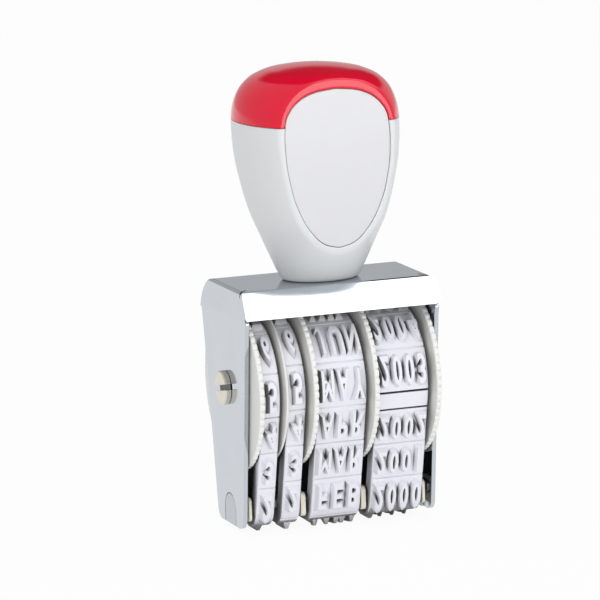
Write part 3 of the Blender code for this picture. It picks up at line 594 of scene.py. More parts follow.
def plate_plastic():
    """Moulded ABS from a smooth mould: near white, satin, with barely any mottling."""
    base = begin("moulded_abs_satin_white", 5 * MM, 2.0, "D5D4D6", colours().panel)
    return finish(*base, (0.32, 0.38), {"IOR": 1.53}, (0.006 * MM, 0.4), (0.4 * MM, 3.0))


# Bands

# Slices of a cell and of the seam's strip along the band, and the flat share of a groove
CELL_SLICES, SEAM_SLICES, GROOVE_FLAT = 16, 6, 0.35
# Slices let a character bend with the band
TYPE_SLICES = 12
# The type is drawn with tapered sides: its face stands this share of its height above its foot
TYPE_DRAFT = 0.08
# Narrow type is thickened a little again once it has been squeezed
TYPE_WEIGHT = 0.020
# Type is squeezed more or less with the number of characters in a cell
SQUEEZE = {1: 0.56, 3: 0.62, 4: 0.55}
# Depth at which the characters' sides start in the plinth, and that of their closed backs
TYPE_ROOT, TYPE_BACK = 0.03 * MM, 0.12 * MM
GLYPHS = {}


def loop_facts():
    """Stretches of the path that a band follows: the cord inside the rubber keeps its length."""
    sizes = bands()
    corner_z = sizes.corner_radius - sizes.platen_drop
    reach = math.hypot(sizes.flat_half, corner_z)
    lean = math.atan2(sizes.flat_half, -corner_z)
    step = sizes.loop_radius - sizes.corner_radius
    tilt = math.asin(step / reach) - lean
    run = math.sqrt(reach ** 2 - step ** 2)
    corner = (sizes.corner_radius + sizes.cord) * (math.pi / 2 - tilt)
    half = sizes.flat_half + corner + run + (sizes.loop_radius + sizes.cord) * (math.pi / 2 + tilt)
    return {"corner_z": corner_z, "tilt": tilt, "corner": corner, "run": run, "half": half}


def loop_point(facts, along, height):
    """(y, z) at a distance along the cord from the printing face, a height outside the inner face."""
    sizes = bands()
    half, tilt = facts["half"], facts["tilt"]
    along = (along + half) % (2 * half) - half
    side = -1 if along >= 0 else 1
    far = abs(along)
    bend = far - sizes.flat_half
    rest = bend - facts["corner"]
    out = sizes.corner_radius + height
    if bend <= 0:
        y, z = far, -sizes.platen_drop - height
    elif rest <= 0:
        turn = bend / (sizes.corner_radius + sizes.cord)
        y = sizes.flat_half + out * math.sin(turn)
        z = facts["corner_z"] - out * math.cos(turn)
    elif rest <= facts["run"]:
        y = sizes.flat_half + out * math.cos(tilt) + rest * math.sin(tilt)
        z = facts["corner_z"] - out * math.sin(tilt) + rest * math.cos(tilt)
    else:
        turn = (rest - facts["run"]) / (sizes.loop_radius + sizes.cord) - tilt
        y = (sizes.loop_radius + height) * math.cos(turn)
        z = (sizes.loop_radius + height) * math.sin(turn)
    return side * y, z + AXLE_Z


def cell_middles(facts, seam, phase):
    """Middle of each cell along the cord, the printing cell first, and the length of a cell."""
    pitch = (2 * facts["half"] - seam) / bands().cells
    middles = [phase + cell * pitch + (seam if cell >= SEAM_CELL else 0) for cell in range(bands().cells)]
    return middles, pitch


def band_stations(facts, seam, phase):
    """Distances along the cord with the height of the rubber's face there."""
    sizes = bands()
    middles, pitch = cell_middles(facts, seam, phase)
    edge = sizes.groove / 2
    stations = []

    def put_face(start, span, slices):
        for step in range(slices + 1):
            stations.append((start + edge + (span - 2 * edge) * step / slices, sizes.plinth))

    def put_groove(middle, depth):
        flat = GROOVE_FLAT * edge
        stations.extend([(middle - flat, sizes.plinth - depth), (middle + flat, sizes.plinth - depth)])

    for cell, middle in enumerate(middles):
        high = middle + pitch / 2
        put_face(middle - pitch / 2, pitch, CELL_SLICES)
        if seam and cell == SEAM_CELL - 1:
            put_groove(high, sizes.seam_depth)
            put_face(high, seam, SEAM_SLICES)
            put_groove(high + seam, sizes.seam_depth)
        else:
            put_groove(high, sizes.groove_depth)
    return stations


def band_loop(facts, left, right, seam, phase):
    """Points and faces of the plain rubber loop with its grooves."""
    edge = bands().edge
    sections = []
    for along, high in band_stations(facts, seam, phase):
        corners = (
            (left, 0), (right, 0), (right, high - edge), (right - edge, high),
            (left + edge, high), (left, high - edge))
        sections.append([(x, *loop_point(facts, along, height)) for x, height in corners])
    return skin(sections, True)


def glyph(character, squeeze):
    """A character as a solid: 1 high, its face at 1, its foot at 0 and a closed back below.

    Gives its points, its faces and its width.
    """
    if (character, squeeze) in GLYPHS:
        return GLYPHS[character, squeeze]
    letter = bpy.data.curves.new("letter", "FONT")
    letter.body = character
    letter.resolution_u = 3
    text = new_piece("letter", letter)
    bpy.context.view_layer.update()
    curve = text.to_curve(bpy.context.evaluated_depsgraph_get()).copy()
    bpy.data.objects.remove(text)
    curve.transform(Matrix.Diagonal((squeeze, 1, 1, 1)))
    curve.dimensions = "2D"
    curve.fill_mode = "BOTH"
    curve.bevel_depth = TYPE_DRAFT
    curve.bevel_resolution = 0
    curve.offset = TYPE_WEIGHT
    shape = new_piece("letter", curve)
    bpy.context.view_layer.update()
    graph = bpy.context.evaluated_depsgraph_get()
    mesh = bpy.data.meshes.new_from_object(shape.evaluated_get(graph))
    bpy.data.objects.remove(shape)
    work = bmesh.new()
    work.from_mesh(mesh)
    bmesh.ops.remove_doubles(work, verts=work.verts, dist=0.0005)
    low_x, high_x = (pick(v.co.x for v in work.verts) for pick in (min, max))
    low_y, high_y = (pick(v.co.y for v in work.verts) for pick in (min, max))
    tall = high_y - low_y
    face = max(v.co.z for v in work.verts)
    for vert in work.verts:
        vert.co.x = (vert.co.x - (low_x + high_x) / 2) / tall
        vert.co.y = (vert.co.y - (low_y + high_y) / 2) / tall
        vert.co.z = vert.co.z / face
    for step in range(1, TYPE_SLICES):
        bmesh.ops.bisect_plane(
            work, geom=work.verts[:] + work.edges[:] + work.faces[:],
            plane_co=(0, step / TYPE_SLICES - 0.5, 0), plane_no=(0, 1, 0), dist=0.0001)
    work.verts.index_update()
    points = [v.co.copy() for v in work.verts]
    faces = [tuple(v.index for v in face.verts) for face in work.faces]
    work.free()
    GLYPHS[character, squeeze] = (points, faces, (high_x - low_x) / tall)
    return GLYPHS[character, squeeze]


def lettering(facts, word, middle, left, right):
    """Points and faces of one cell's characters, reversed for printing."""
    sizes = bands()
    points, faces = [], []
    pitch = (right - left) / len(word)
    for index, character in enumerate(word):
        shape, shape_faces, wide = glyph(character, SQUEEZE[len(word)])
        # Wide letters are narrowed until they all but touch
        fit = min(1, 1.04 * pitch / (wide * sizes.height))
        centre = left + pitch * (index + 0.5)
        start = len(points)
        for point in shape:
            below = point.z < -0.01
            root = TYPE_BACK if below else TYPE_ROOT - (sizes.rise + TYPE_ROOT) * min(point.z, 1)
            height = sizes.plinth - root
            along = middle - point.y * sizes.height
            points.append((centre + point.x * sizes.height * fit, *loop_point(facts, along, height)))
        faces += [tuple(start + at for at in face) for face in shape_faces]
    return points, faces


def build_band(name, words, phase, material):
    """A rubber band: the loop with its grooves, and the characters that stand in its cells."""
    facts = loop_facts()
    low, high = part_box(name)
    seam = bands().seam if name == "band_year" else 0
    points, faces = band_loop(facts, low.x, high.x, seam, phase)
    middles, _ = cell_middles(facts, seam, phase)
    margin = 0.2 * MM
    for word, middle in zip(words, middles):
        more, more_faces = lettering(facts, word, middle, low.x + margin, high.x - margin)
        start = len(points)
        points += more
        faces += [tuple(start + at for at in face) for face in more_faces]
    piece = new_piece(name + "_rubber", mesh_from(name, points, faces))
    shade(piece, 28)
    place_piece(piece, ROOT, material, "band_rubber", name)


# Thumb wheels

# Height of one tooth round its pitch, from root to root, as shares of the tooth depth
TOOTH_FORM = (0.0, 0.62, 0.93, 1.0, 1.0, 1.0, 0.93, 0.62)


def wheel_path(number, low, high):
    """Half section of a wheel as (x, radius, share of the tooth depth), from the bore's left end on."""
    sizes = wheels()
    edge, drum, bore = sizes.edge, sizes.drum_radius, sizes.bore_radius
    tip, inner = sizes.radius, sizes.radius - sizes.tooth_depth - 0.3 * MM
    left = low if number == 1 else high - sizes.thickness
    right = left + sizes.thickness
    middle = (left + right) / 2
    # The teeth deepen from the disc's left edge to its right one
    disc = [
        (left, drum, 0), (left, inner, 0), (left, tip - edge, 0.15), (left + edge, tip, 0.3),
        (middle, tip, 0.7), (right - edge, tip, 1), (right, tip - edge, 1), (right, inner, 0),
        (right, drum, 0)]
    if number == 1:
        tail = [(high - edge, drum, 0), (high, drum - edge, 0), (high, bore, 0)]
        return [(low, bore, 0)] + disc + tail
    if number == 2:
        rim, out = low + sizes.rim_thickness, sizes.rim_radius
        front = [
            (low, bore, 0), (low, out - edge, 0), (low + edge, out, 0),
            (rim - edge, out, 0), (rim, out - edge, 0), (rim, drum, 0)]
    else:
        front = [(low, bore, 0), (low, drum - edge, 0), (low + edge, drum, 0)]
    return front + disc[:-1] + [(right, bore, 0)]


def build_wheel(number, material):
    """A wheel as one closed turned surface whose disc carries the teeth."""
    sizes = wheels()
    node = "thumb_wheel_%d" % number
    low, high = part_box(node)
    steps = len(TOOTH_FORM)
    count = sizes.teeth * steps
    sections = []
    for x, radius, toothed in wheel_path(number, low.x, high.x):
        section = []
        for step in range(count):
            angle = math.tau * (step - steps / 2) / count
            far = radius - (1 - TOOTH_FORM[step % steps]) * sizes.tooth_depth * toothed
            section.append((x, far * math.cos(angle), far * math.sin(angle) + AXLE_Z))
        sections.append(section)
    piece = new_piece("wheel_%d_moulding" % number, mesh_from(node, *skin(sections, True)))
    shade(piece, 30)
    place_piece(piece, "wheel_%d" % number, material, "wheel_plastic", node)


# Frame

# A relief cut's half length, width, slant, and how far its middle lies inside the cheek
RELIEF_HALF, RELIEF_WIDE = 1.1 * MM, 0.56 * MM
RELIEF_TURN, RELIEF_INSET = math.radians(41), 0.75 * MM


def cheek_outline():
    """Side view of a cheek, (y, z), tucked under the aprons."""
    sizes = sheet()
    top, apron = FRAME_HIGH.z, AXLE_Z + sizes.apron_height
    reach = sizes.front_reach
    slope = math.atan2(top - apron, reach - sizes.plate_half_depth)
    tuck = sizes.sheet + 0.05 * MM
    shift_y, shift_z = tuck * math.sin(slope), tuck * math.cos(slope)
    back, rear_foot = sizes.rear_reach - tuck, AXLE_Z + sizes.rear_height
    front, fold = shift_y - reach, shift_y - sizes.plate_half_depth
    # Below each apron the cheek's edge runs in over a short slope before it falls to the waist
    slant, neck, foot = 1.5 * MM, 1.2 * MM, 2.0 * MM
    points = [
        (back, top), (back, rear_foot + 0.1 * MM), (back - 0.3 * MM, rear_foot - slant),
        (sizes.waist_half, AXLE_Z), (sizes.foot_half, FRAME_LOW.z),
        (-sizes.foot_half, FRAME_LOW.z), (-sizes.waist_half, AXLE_Z),
        (0.5 * MM + front, apron - shift_z - slant), (front, apron - shift_z),
        (fold, top - shift_z), (fold, top)]
    radii = [
        sizes.shoulder - tuck, 0.3 * MM, neck, sizes.waist_half, foot,
        foot, sizes.waist_half, neck, 0.7 * MM, 0, 0]
    return rounded(points, radii)


def frame_section():
    """Front view of the plate and both cheeks, (x, z)."""
    sizes = sheet()
    wide, top, low = FRAME_HIGH.x, FRAME_HIGH.z, FRAME_LOW.z
    inner = wide - sizes.sheet
    knee = apron_foot(-1) - 0.4 * MM
    corners = [
        (-wide, low), (-wide, knee), (sizes.lean - wide, top), (wide, top), (wide, low),
        (inner, low), (inner, top - sizes.sheet), (sizes.lean - inner, top - sizes.sheet),
        (-inner, knee), (-inner, low)]
    soft = 3 * MM
    return rounded(corners, [0, soft, sizes.bend, sizes.bend, 0, 0, 0, 0, soft, 0], 8)


def apron_foot(side):
    """Height of an apron's lower edge."""
    return AXLE_Z + (sheet().apron_height if side < 0 else sheet().rear_height)


def apron_outline(side):
    """Side view of an apron, (y, z)."""
    sizes = sheet()
    top, low = FRAME_HIGH.z, apron_foot(side)
    if side > 0:
        # The rear apron is rolled round a shoulder and hangs straight
        reach, inside = sizes.rear_reach, sizes.shoulder - sizes.sheet
        root = reach - sizes.shoulder - 0.2 * MM
        points = [
            (root, top), (reach, top), (reach, low), (reach - sizes.sheet, low),
            (reach - sizes.sheet, top - sizes.sheet), (root, top - sizes.sheet)]
        return rounded(points, [0, sizes.shoulder, 0, 0, inside, 0], 12)
    reach = sizes.front_reach
    slope = math.atan2(top - low, reach - sizes.plate_half_depth)
    level = sizes.sheet / math.sin(slope)
    knee = sizes.sheet * math.tan(slope / 2)
    root = sizes.plate_half_depth - sizes.bend
    points = [
        (root, top), (sizes.plate_half_depth, top), (reach, low), (reach - level, low),
        (sizes.plate_half_depth - knee, top - sizes.sheet), (root, top - sizes.sheet)]
    return [(-y, z) for y, z in rounded(points, [0, sizes.bend, 0, 0, 0.3 * MM, 0])]


def lug_outline(radius, foot):
    """A round-topped lug, open downwards, (y, z)."""
    centre = AXLE_Z - sheet().lug_centre
    angles = [math.pi * step / 24 for step in range(25)]
    top = [(radius * math.cos(angle), centre + radius * math.sin(angle)) for angle in angles]
    return [(radius, foot), *top, (-radius, foot)]


def build_frame(material):
    """The folded sheet: plate and cheeks, both aprons, relief cuts, and the holes through it."""
    sizes = sheet()
    wide = FRAME_HIGH.x
    reach, past = FRAME_HIGH.y + 2 * MM, wide + MM
    piece = prism_y("frame_sheet", frame_section(), -reach, reach)
    combine(piece, prism_x("profile", cheek_outline(), -past, past), "INTERSECT")
    # The ends of an apron lean in a little towards the fold, and its right corners are rounder
    lean, top = 0.2 * MM, FRAME_HIGH.z + 0.01 * MM
    for side, right, upper in ((-1, wide + sizes.overhang, 1.2 * MM), (1, wide, sizes.bend)):
        apron = prism_x("apron", apron_outline(side), -wide, right)
        low = apron_foot(side)
        corners = [(-wide, low), (right, low), (right - lean, top), (sizes.lean - wide, top)]
        radii = [0.25 * MM, 1.3 * MM, upper, sizes.bend]
        window = prism_y("window", rounded(corners, radii), -reach, reach)
        combine(apron, window, "INTERSECT")
        combine(piece, apron, "UNION")
    # A slanting relief cut runs in from each front corner of the plate
    for end in (-1, 1):
        cut = box_piece("relief", (-RELIEF_HALF, -RELIEF_WIDE / 2, -MM), (RELIEF_HALF, RELIEF_WIDE / 2, MM))
        turn = Matrix.Rotation(-end * RELIEF_TURN, 4, "Z")
        inset = wide - RELIEF_INSET - (sizes.lean if end < 0 else 0)
        place = Matrix.Translation((end * inset, RELIEF_HALF - sizes.plate_half_depth, FRAME_HIGH.z))
        cut.data.transform(place @ turn)
        combine(piece, cut)
    # Holes for the axle and the handle's screw, and slots for the platen's lugs, each with play
    hole, slot, bore = sizes.axle_radius + 0.1 * MM, sizes.lug_radius + 0.16 * MM, 1.7 * MM
    combine(piece, turned("hole", ((-past, hole), (past, hole)), 48, "X", (0, 0, AXLE_Z)))
    combine(piece, prism_x("slot", lug_outline(slot, -MM), -past, past))
    screw = ((FRAME_HIGH.z - 2 * MM, bore), (FRAME_HIGH.z + MM, bore))
    combine(piece, turned("screw", screw, 32, "Z", (handle().shift, 0, 0)))
    soften(piece, sizes.edge, 40)
    shade(piece, 50, True)
    place_piece(piece, ROOT, material, "nickel_steel", "frame")


def slotted_head(name, side, node, material):
    """A turned head outside a cheek, with a domed edge and a slot a little off level."""
    sizes = sheet()
    low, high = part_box(node)
    face = low.x if side < 0 else high.x
    inner = side * (FRAME_HIGH.x + 0.03 * MM)
    radius, dome, chamfer = sizes.head_radius, 0.22 * MM, 0.08 * MM
    end = FRAME_HIGH.x - 2 * MM if side > 0 else high.x
    profile = [
        (end, sizes.axle_radius), (inner, sizes.axle_radius), (inner, radius - chamfer),
        (inner + side * chamfer, radius), (face - side * dome, radius),
        (face - side * 0.10 * MM, radius - 0.07 * MM), (face, radius - dome),
        (face, radius - 0.6 * MM), (face, 0.4 * MM)]
    piece = turned(name, profile, 72, "X", (0, 0, AXLE_Z))
    slot_depth, past = 0.9 * MM, 2 * MM
    span = sorted((face - side * slot_depth, face + side * past))
    half, reach = sizes.slot / 2, radius + past
    slot = box_piece("slot", (span[0], -reach, -half), (span[1], reach, half))
    slot.data.transform(Matrix.Translation((0, 0, AXLE_Z)) @ Matrix.Rotation(SLOT_TURN, 4, "X"))
    combine(piece, slot)
    soften(piece, 0.05 * MM, 50)
    shade(piece, 30, True)
    place_piece(piece, ROOT, material, "turned_steel", node)


# Platen

# Gap between the bar and the inner face of the bands, and the radii of the bar's four edges
BAR_GAP, BAR_RADII = 0.3 * MM, (0.7 * MM, 0.7 * MM, 0.4 * MM, 0.4 * MM)


def build_platen(material):
    """The bar inside the bands, with a lug staked in each cheek."""
    sizes, loop = sheet(), bands()
    half = loop.flat_half + loop.corner_radius - BAR_GAP
    foot = AXLE_Z - loop.platen_drop + BAR_GAP
    top = foot + sizes.bar
    # The bar widens a little upwards and ends short of the cheeks; the lugs run on through them
    flare, play, overlap = 0.2 * MM, 0.3 * MM, 0.08 * MM
    corners = [(-half, foot), (half, foot), (half + flare, top), (-half - flare, top)]
    shoulder = FRAME_HIGH.x - sizes.sheet - play
    piece = prism_x("platen_bar", rounded(corners, BAR_RADII), -shoulder, shoulder)
    lug = lug_outline(sizes.lug_radius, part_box("platen")[0].z)
    for side in (-1, 1):
        ends = sorted((side * (shoulder - overlap), side * FRAME_HIGH.x))
        combine(piece, prism_x("lug", lug, *ends), "UNION")
    soften(piece, 0.12 * MM, 40)
    shade(piece, 40, True)
    place_piece(piece, ROOT, material, "zinc_steel", "platen")


def build_spine(material):
    """An upright near-black plate on the platen's bar: painted shade that stands in for the dark inside the
    bands where it shows between them.
    """
    play, half = 0.1 * MM, 0.4 * MM
    foot = AXLE_Z - bands().platen_drop + BAR_GAP + sheet().bar - play
    shoulder = FRAME_HIGH.x - sheet().sheet - half
    # It stays just clear of the discs, and reaches up inside the bands to just below the drums
    below_discs = AXLE_Z - wheels().radius - 0.4 * MM
    below_drums = AXLE_Z - wheels().drum_radius - 0.5 * MM
    outline = [(-shoulder, foot), (-shoulder, below_discs)]
    for name, _, _ in BANDS:
        left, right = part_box(name)[0].x + play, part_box(name)[1].x - play
        outline += [(left, below_discs), (left, below_drums), (right, below_drums), (right, below_discs)]
    outline += [(shoulder, below_discs), (shoulder, foot)]
    piece = prism_y("platen_shade_plate", outline, -half, half)
    shade(piece, 30)
    place_piece(piece, ROOT, material, "zinc_steel")


def build_guides(material):
    """The moulded spacers, each with a hole that fits round the platen bar."""
    loop = bands()
    half = loop.flat_half + loop.corner_radius
    foot = AXLE_Z - loop.platen_drop
    top = foot + sheet().bar + 2 * BAR_GAP
    hole = [(-half, foot), (half, foot), (half + 0.3 * MM, top), (-half - 0.3 * MM, top)]
    for number in (1, 2, 3, 4):
        node = "band_guide_%d" % number
        low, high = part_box(node)
        corners = [(low.y, low.z), (high.y, low.z), (high.y, high.z), (low.y, high.z)]
        piece = prism_x(node + "_moulding", rounded(corners, [0.8 * MM] * 4), low.x, high.x)
        combine(piece, prism_x("hole", rounded(hole, BAR_RADII), low.x - MM, high.x + MM))
        soften(piece, 0.07 * MM, 40)
        shade(piece, 40, True)
        place_piece(piece, ROOT, material, "guide_plastic", node)


# Handle

# Rays of the cap, of each side of the body and of half its foot
CAP_RAYS, BODY_RAYS, FOOT_RAYS = 72, 34, 10
# Steps of a lip's rounding, and of the surface from the crease to the silhouette
LIP_STEPS, SIDE_STEPS = 3, 18
# Places across the crease, from the flat face to the round side
CREASE_SHARES = (-1, -0.7, -0.45, -0.2, 0, 0.2, 0.45, 0.7, 1)
# Thickness of a face plate
PLATE_THICK = 1.0 * MM


def table_value(table, share, column):
    """Read a table of shares along a smooth curve through its rows."""
    index = 0
    while index < len(table) - 2 and table[index + 1][0] <= share:
        index += 1
    before, start = table[max(index - 1, 0)], table[index]
    end, after = table[index + 1], table[min(index + 2, len(table) - 1)]
    span = end[0] - start[0]
    t = (share - start[0]) / span
    rise_in = (end[column] - before[column]) / (end[0] - before[0])
    rise_out = (after[column] - start[column]) / (after[0] - start[0])
    a = 2 * t ** 3 - 3 * t ** 2 + 1
    b = t ** 3 - 2 * t ** 2 + t
    c = 3 * t ** 2 - 2 * t ** 3
    d = t ** 3 - t ** 2
    return a * start[column] + b * rise_in * span + c * end[column] + d * rise_out * span


def above_plate(rise):
    """Height in the frame of a height above the top plate."""
    return FRAME_HIGH.z + rise


def egg_half(z, column):
    """Half width or half depth of the egg at a height."""
    sizes = handle()
    low, high = above_plate(sizes.seat), above_plate(sizes.height)
    share = min(max((z - low) / (high - low), 0), 1)
    whole = sizes.half_width if column == WIDTH else sizes.half_depth
    if share > CROWN:
        return whole * table_value(HANDLE_SHARES, CROWN, column) * math.sqrt((1 - share) / (1 - CROWN))
    half = whole * table_value(HANDLE_SHARES, share, column)
    # The foot's edge is rounded
    under = sizes.foot_round - (z - low)
    if under > 0:
        half -= sizes.foot_round - math.sqrt(max(sizes.foot_round ** 2 - under ** 2, 0))
    return half


def face_depth(z):
    """How far the flattened front lies from the middle plane at a height."""
    sizes = handle()
    away = (z - above_plate(sizes.face_middle)) / sizes.face_reach
    return sizes.face_depth - sizes.face_bow * away ** 2


def round_depth(x, z):
    """How far the egg's round surface would lie from the middle plane."""
    wide = egg_half(z, WIDTH)
    if wide <= 1e-7 or abs(x) >= wide:
        return 0.0
    return egg_half(z, DEPTH) * math.sqrt(1 - (x / wide) ** 2)


def handle_depth(x, z):
    """The handle's surface: round, cut by a flattened face, with a soft edge between them."""
    curve, face, soft = round_depth(x, z), face_depth(z), handle().crease
    share = min(max(0.5 + 0.5 * (face - curve) / soft, 0), 1)
    return face + (curve - face) * share - soft * share * (1 - share)


def along_ray(angle, inside):
    """How far out on a ray from the middle of the cap line a test stops being true."""
    way = (math.cos(angle), math.sin(angle))
    centre = above_plate(handle().cap_line)
    low, high, halvings = 0.0, 60 * MM, 44
    for _ in range(halvings):
        far = (low + high) / 2
        low, high = (far, high) if inside(way[0] * far, centre + way[1] * far) else (low, far)
    return low


def in_panel(x, z):
    """Whether a point of the front view lies on the face plate."""
    sizes = handle()
    foot, top = above_plate(sizes.panel_foot), above_plate(sizes.panel_top)
    share = (z - foot) / (top - foot)
    return 0 < share < 1 and abs(x) < sizes.panel_half_width * table_value(PANEL_SHARES, share, WIDTH)


def in_outline(x, z):
    """Whether it lies on the handle."""
    low, high = above_plate(handle().seat), above_plate(handle().height)
    return low < z < high and abs(x) < egg_half(z, WIDTH)


def on_flat(x, z):
    """Whether it lies on the flattened face."""
    return in_outline(x, z) and round_depth(x, z) > face_depth(z)


def handle_row(angle, side):
    """One line of the handle's surface, from the seat of a face plate out to the silhouette."""
    sizes = handle()
    way = (math.cos(angle), math.sin(angle))
    centre, low = above_plate(sizes.cap_line), above_plate(sizes.seat)
    start = along_ray(angle, in_panel) + sizes.joint
    crease = along_ray(angle, on_flat)
    end = along_ray(angle, in_outline)
    row = []

    def put(far, drop):
        x, z = way[0] * far, centre + way[1] * far
        at_side = far == end and z > low + 0.01 * MM
        depth = 0.0 if at_side else max(handle_depth(x, z) - drop, 0)
        row.append((x + sizes.shift, side * depth, z))

    put(start, sizes.wall)
    for step in range(LIP_STEPS + 1):
        turn = math.pi / 2 * step / LIP_STEPS
        put(start + sizes.lip * (1 - math.cos(turn)), sizes.lip * (1 - math.sin(turn)))
    soft = min(sizes.crease, 0.4 * (crease - start - sizes.lip), 0.4 * (end - crease))
    put((start + sizes.lip + crease - soft) / 2, 0)
    for share in CREASE_SHARES:
        put(crease + soft * share, 0)
    # Evenly in depth down to the silhouette
    for step in range(1, SIDE_STEPS):
        share = 1 - (1 - step / SIDE_STEPS) ** 2
        put(crease + soft + (end - crease - soft) * share, 0)
    put(end, 0)
    return row


def cap_angles():
    """Ray angles from the right end of the cap line up and over to its left end."""
    return [math.pi * step / CAP_RAYS for step in range(CAP_RAYS + 1)]


def body_angles():
    """Ray angles from the left end of the cap line down and round to its right end."""
    sizes = handle()
    centre, low = above_plate(sizes.cap_line), above_plate(sizes.seat)
    side = low + sizes.foot_round
    heights = [side + (centre - side) * step / BODY_RAYS for step in range(1, BODY_RAYS)]
    heights += [low + sizes.foot_round * share for share in (0.02, 0.12, 0.35, 0.7, 1.0)]
    angles = [math.atan2(z - centre, egg_half(z, WIDTH)) for z in heights]
    foot = egg_half(low, WIDTH)
    angles += [math.atan2(low - centre, foot * step / FOOT_RAYS) for step in range(FOOT_RAYS + 1)]
    right = set(angles + [0.0])
    left = {-math.pi - angle for angle in right}
    return sorted(left | right)


def handle_patch(angles, joint):
    """The surface of the cap or the body between rays, front and back meeting at the silhouette."""
    sizes = handle()
    rows = []
    for angle in angles:
        rows.append(handle_row(angle, -1) + handle_row(angle, 1)[::-1])
    # Both ends of the patch turn in over a small lip, and a wall goes down into the joint
    for end in (0, -1):
        surface = [(x, y, z + joint + math.copysign(sizes.lip / 2, joint)) for x, y, z in rows[end]]
        edges = []
        for depth in (sizes.lip / 2, sizes.wall):
            edge = []
            for x, y, z in rows[end]:
                flat = Vector((x - sizes.shift, y, 0))
                inward = flat - flat.normalized() * min(depth, flat.length)
                edge.append((inward.x + sizes.shift, inward.y, z + joint))
            edges.append(edge)
        rows[end] = surface
        rows = edges[::-1] + rows if end == 0 else rows + edges
    count = len(rows[0])
    points = [point for row in rows for point in row]
    faces = []
    for line in range(len(rows) - 1):
        for at in range(count - 1):
            low = line * count + at
            faces.append((low, low + 1, low + count + 1, low + count))
    return mesh_from("handle_patch", points, faces, 0.002 * MM)


def build_handle_part(name, angles, joint, node, material, slot):
    """The cap or the body: its surface between rays, moved away from the other by half a joint."""
    piece = new_piece(name, handle_patch(angles, joint))
    shade(piece, 40)
    place_piece(piece, ROOT, material, slot, node)


def build_face_plate(name, side, node, material):
    """A face plate: flat across, bowed a little in height, with a rounded edge, just below its rim."""
    sizes = handle()
    rays, rings, turns = 144, 12, 4
    centre = above_plate(sizes.cap_line)
    points = [(sizes.shift, side * (face_depth(centre) - sizes.panel_sink), centre)]
    for ring in range(1, rings + turns + 1):
        for ray in range(rays):
            angle = math.tau * ray / rays
            reach = along_ray(angle, in_panel)
            if ring <= rings:
                far, drop = (reach - sizes.lip) * ring / rings, 0
            else:
                turn = math.pi / 2 * (ring - rings) / turns
                far = reach - sizes.lip * (1 - math.sin(turn))
                drop = sizes.lip * (1 - math.cos(turn))
            x, z = math.cos(angle) * far, centre + math.sin(angle) * far
            points.append((x + sizes.shift, side * (face_depth(z) - sizes.panel_sink - drop), z))
    points += [(x, y - side * PLATE_THICK, z) for x, y, z in points[-rays:]]
    faces = [(0, 1 + ray, 1 + (ray + 1) % rays) for ray in range(rays)]
    for ring in range(rings + turns):
        low = 1 + ring * rays
        for ray in range(rays):
            after = (ray + 1) % rays
            faces.append((low + ray, low + after, low + rays + after, low + rays + ray))
    faces.append(tuple(range(len(points) - rays, len(points))))
    piece = new_piece(name, mesh_from(name, points, faces))
    shade(piece, 40)
    place_piece(piece, ROOT, material, "panel_plastic", node)


# Stage

# Half width of the floor in metres, and how much it shows as plain white; the rest takes the shadow
FLOOR_HALF, FLOOR_GLOW = 3.0, 0.94
# Strength of the room's light from the front and from behind
FRONT_LIGHT, REAR_LIGHT = 0.76, 0.62
# What gloss and metal see: the walls, the ceiling, and a wide lamp in it with its direction
WALL_LIGHT, CEILING_LIGHT, WIDE_LIGHT = 0.66, 0.05, 1.8
WIDE_AIM = (0.50, -0.32, 0.80)


def build_floor():
    """A plain pale floor that takes the object's shadow and otherwise shows as white."""
    half = FLOOR_HALF
    corners = [(-half, -half, 0), (half, -half, 0), (half, half, 0), (-half, half, 0)]
    floor = new_piece("floor", mesh_from("floor", corners, [(0, 1, 2, 3)]))
    material, tree = blank("matt_painted_floor")
    paint = add(tree, "BsdfPrincipled", {"Base Color": (*colours().floor, 1), "Roughness": 0.6})
    path = add(tree, "LightPath")
    seen = add(tree, "Math", {
        0: path.outputs["Is Camera Ray"], 1: path.outputs["Is Glossy Ray"]}, operation="MAXIMUM")
    either = add(tree, "Math", {0: seen, 1: path.outputs["Is Transmission Ray"]}, operation="MAXIMUM")
    share = add(tree, "Math", {0: either, 1: FLOOR_GLOW}, operation="MULTIPLY")
    glow = add(tree, "Emission", {"Color": (1, 1, 1, 1), "Strength": 1.0})
    mixed = add(tree, "MixShader", {0: share, 1: paint, 2: glow})
    add(tree, "OutputMaterial", {"Surface": mixed})
    floor.data.materials.append(material)


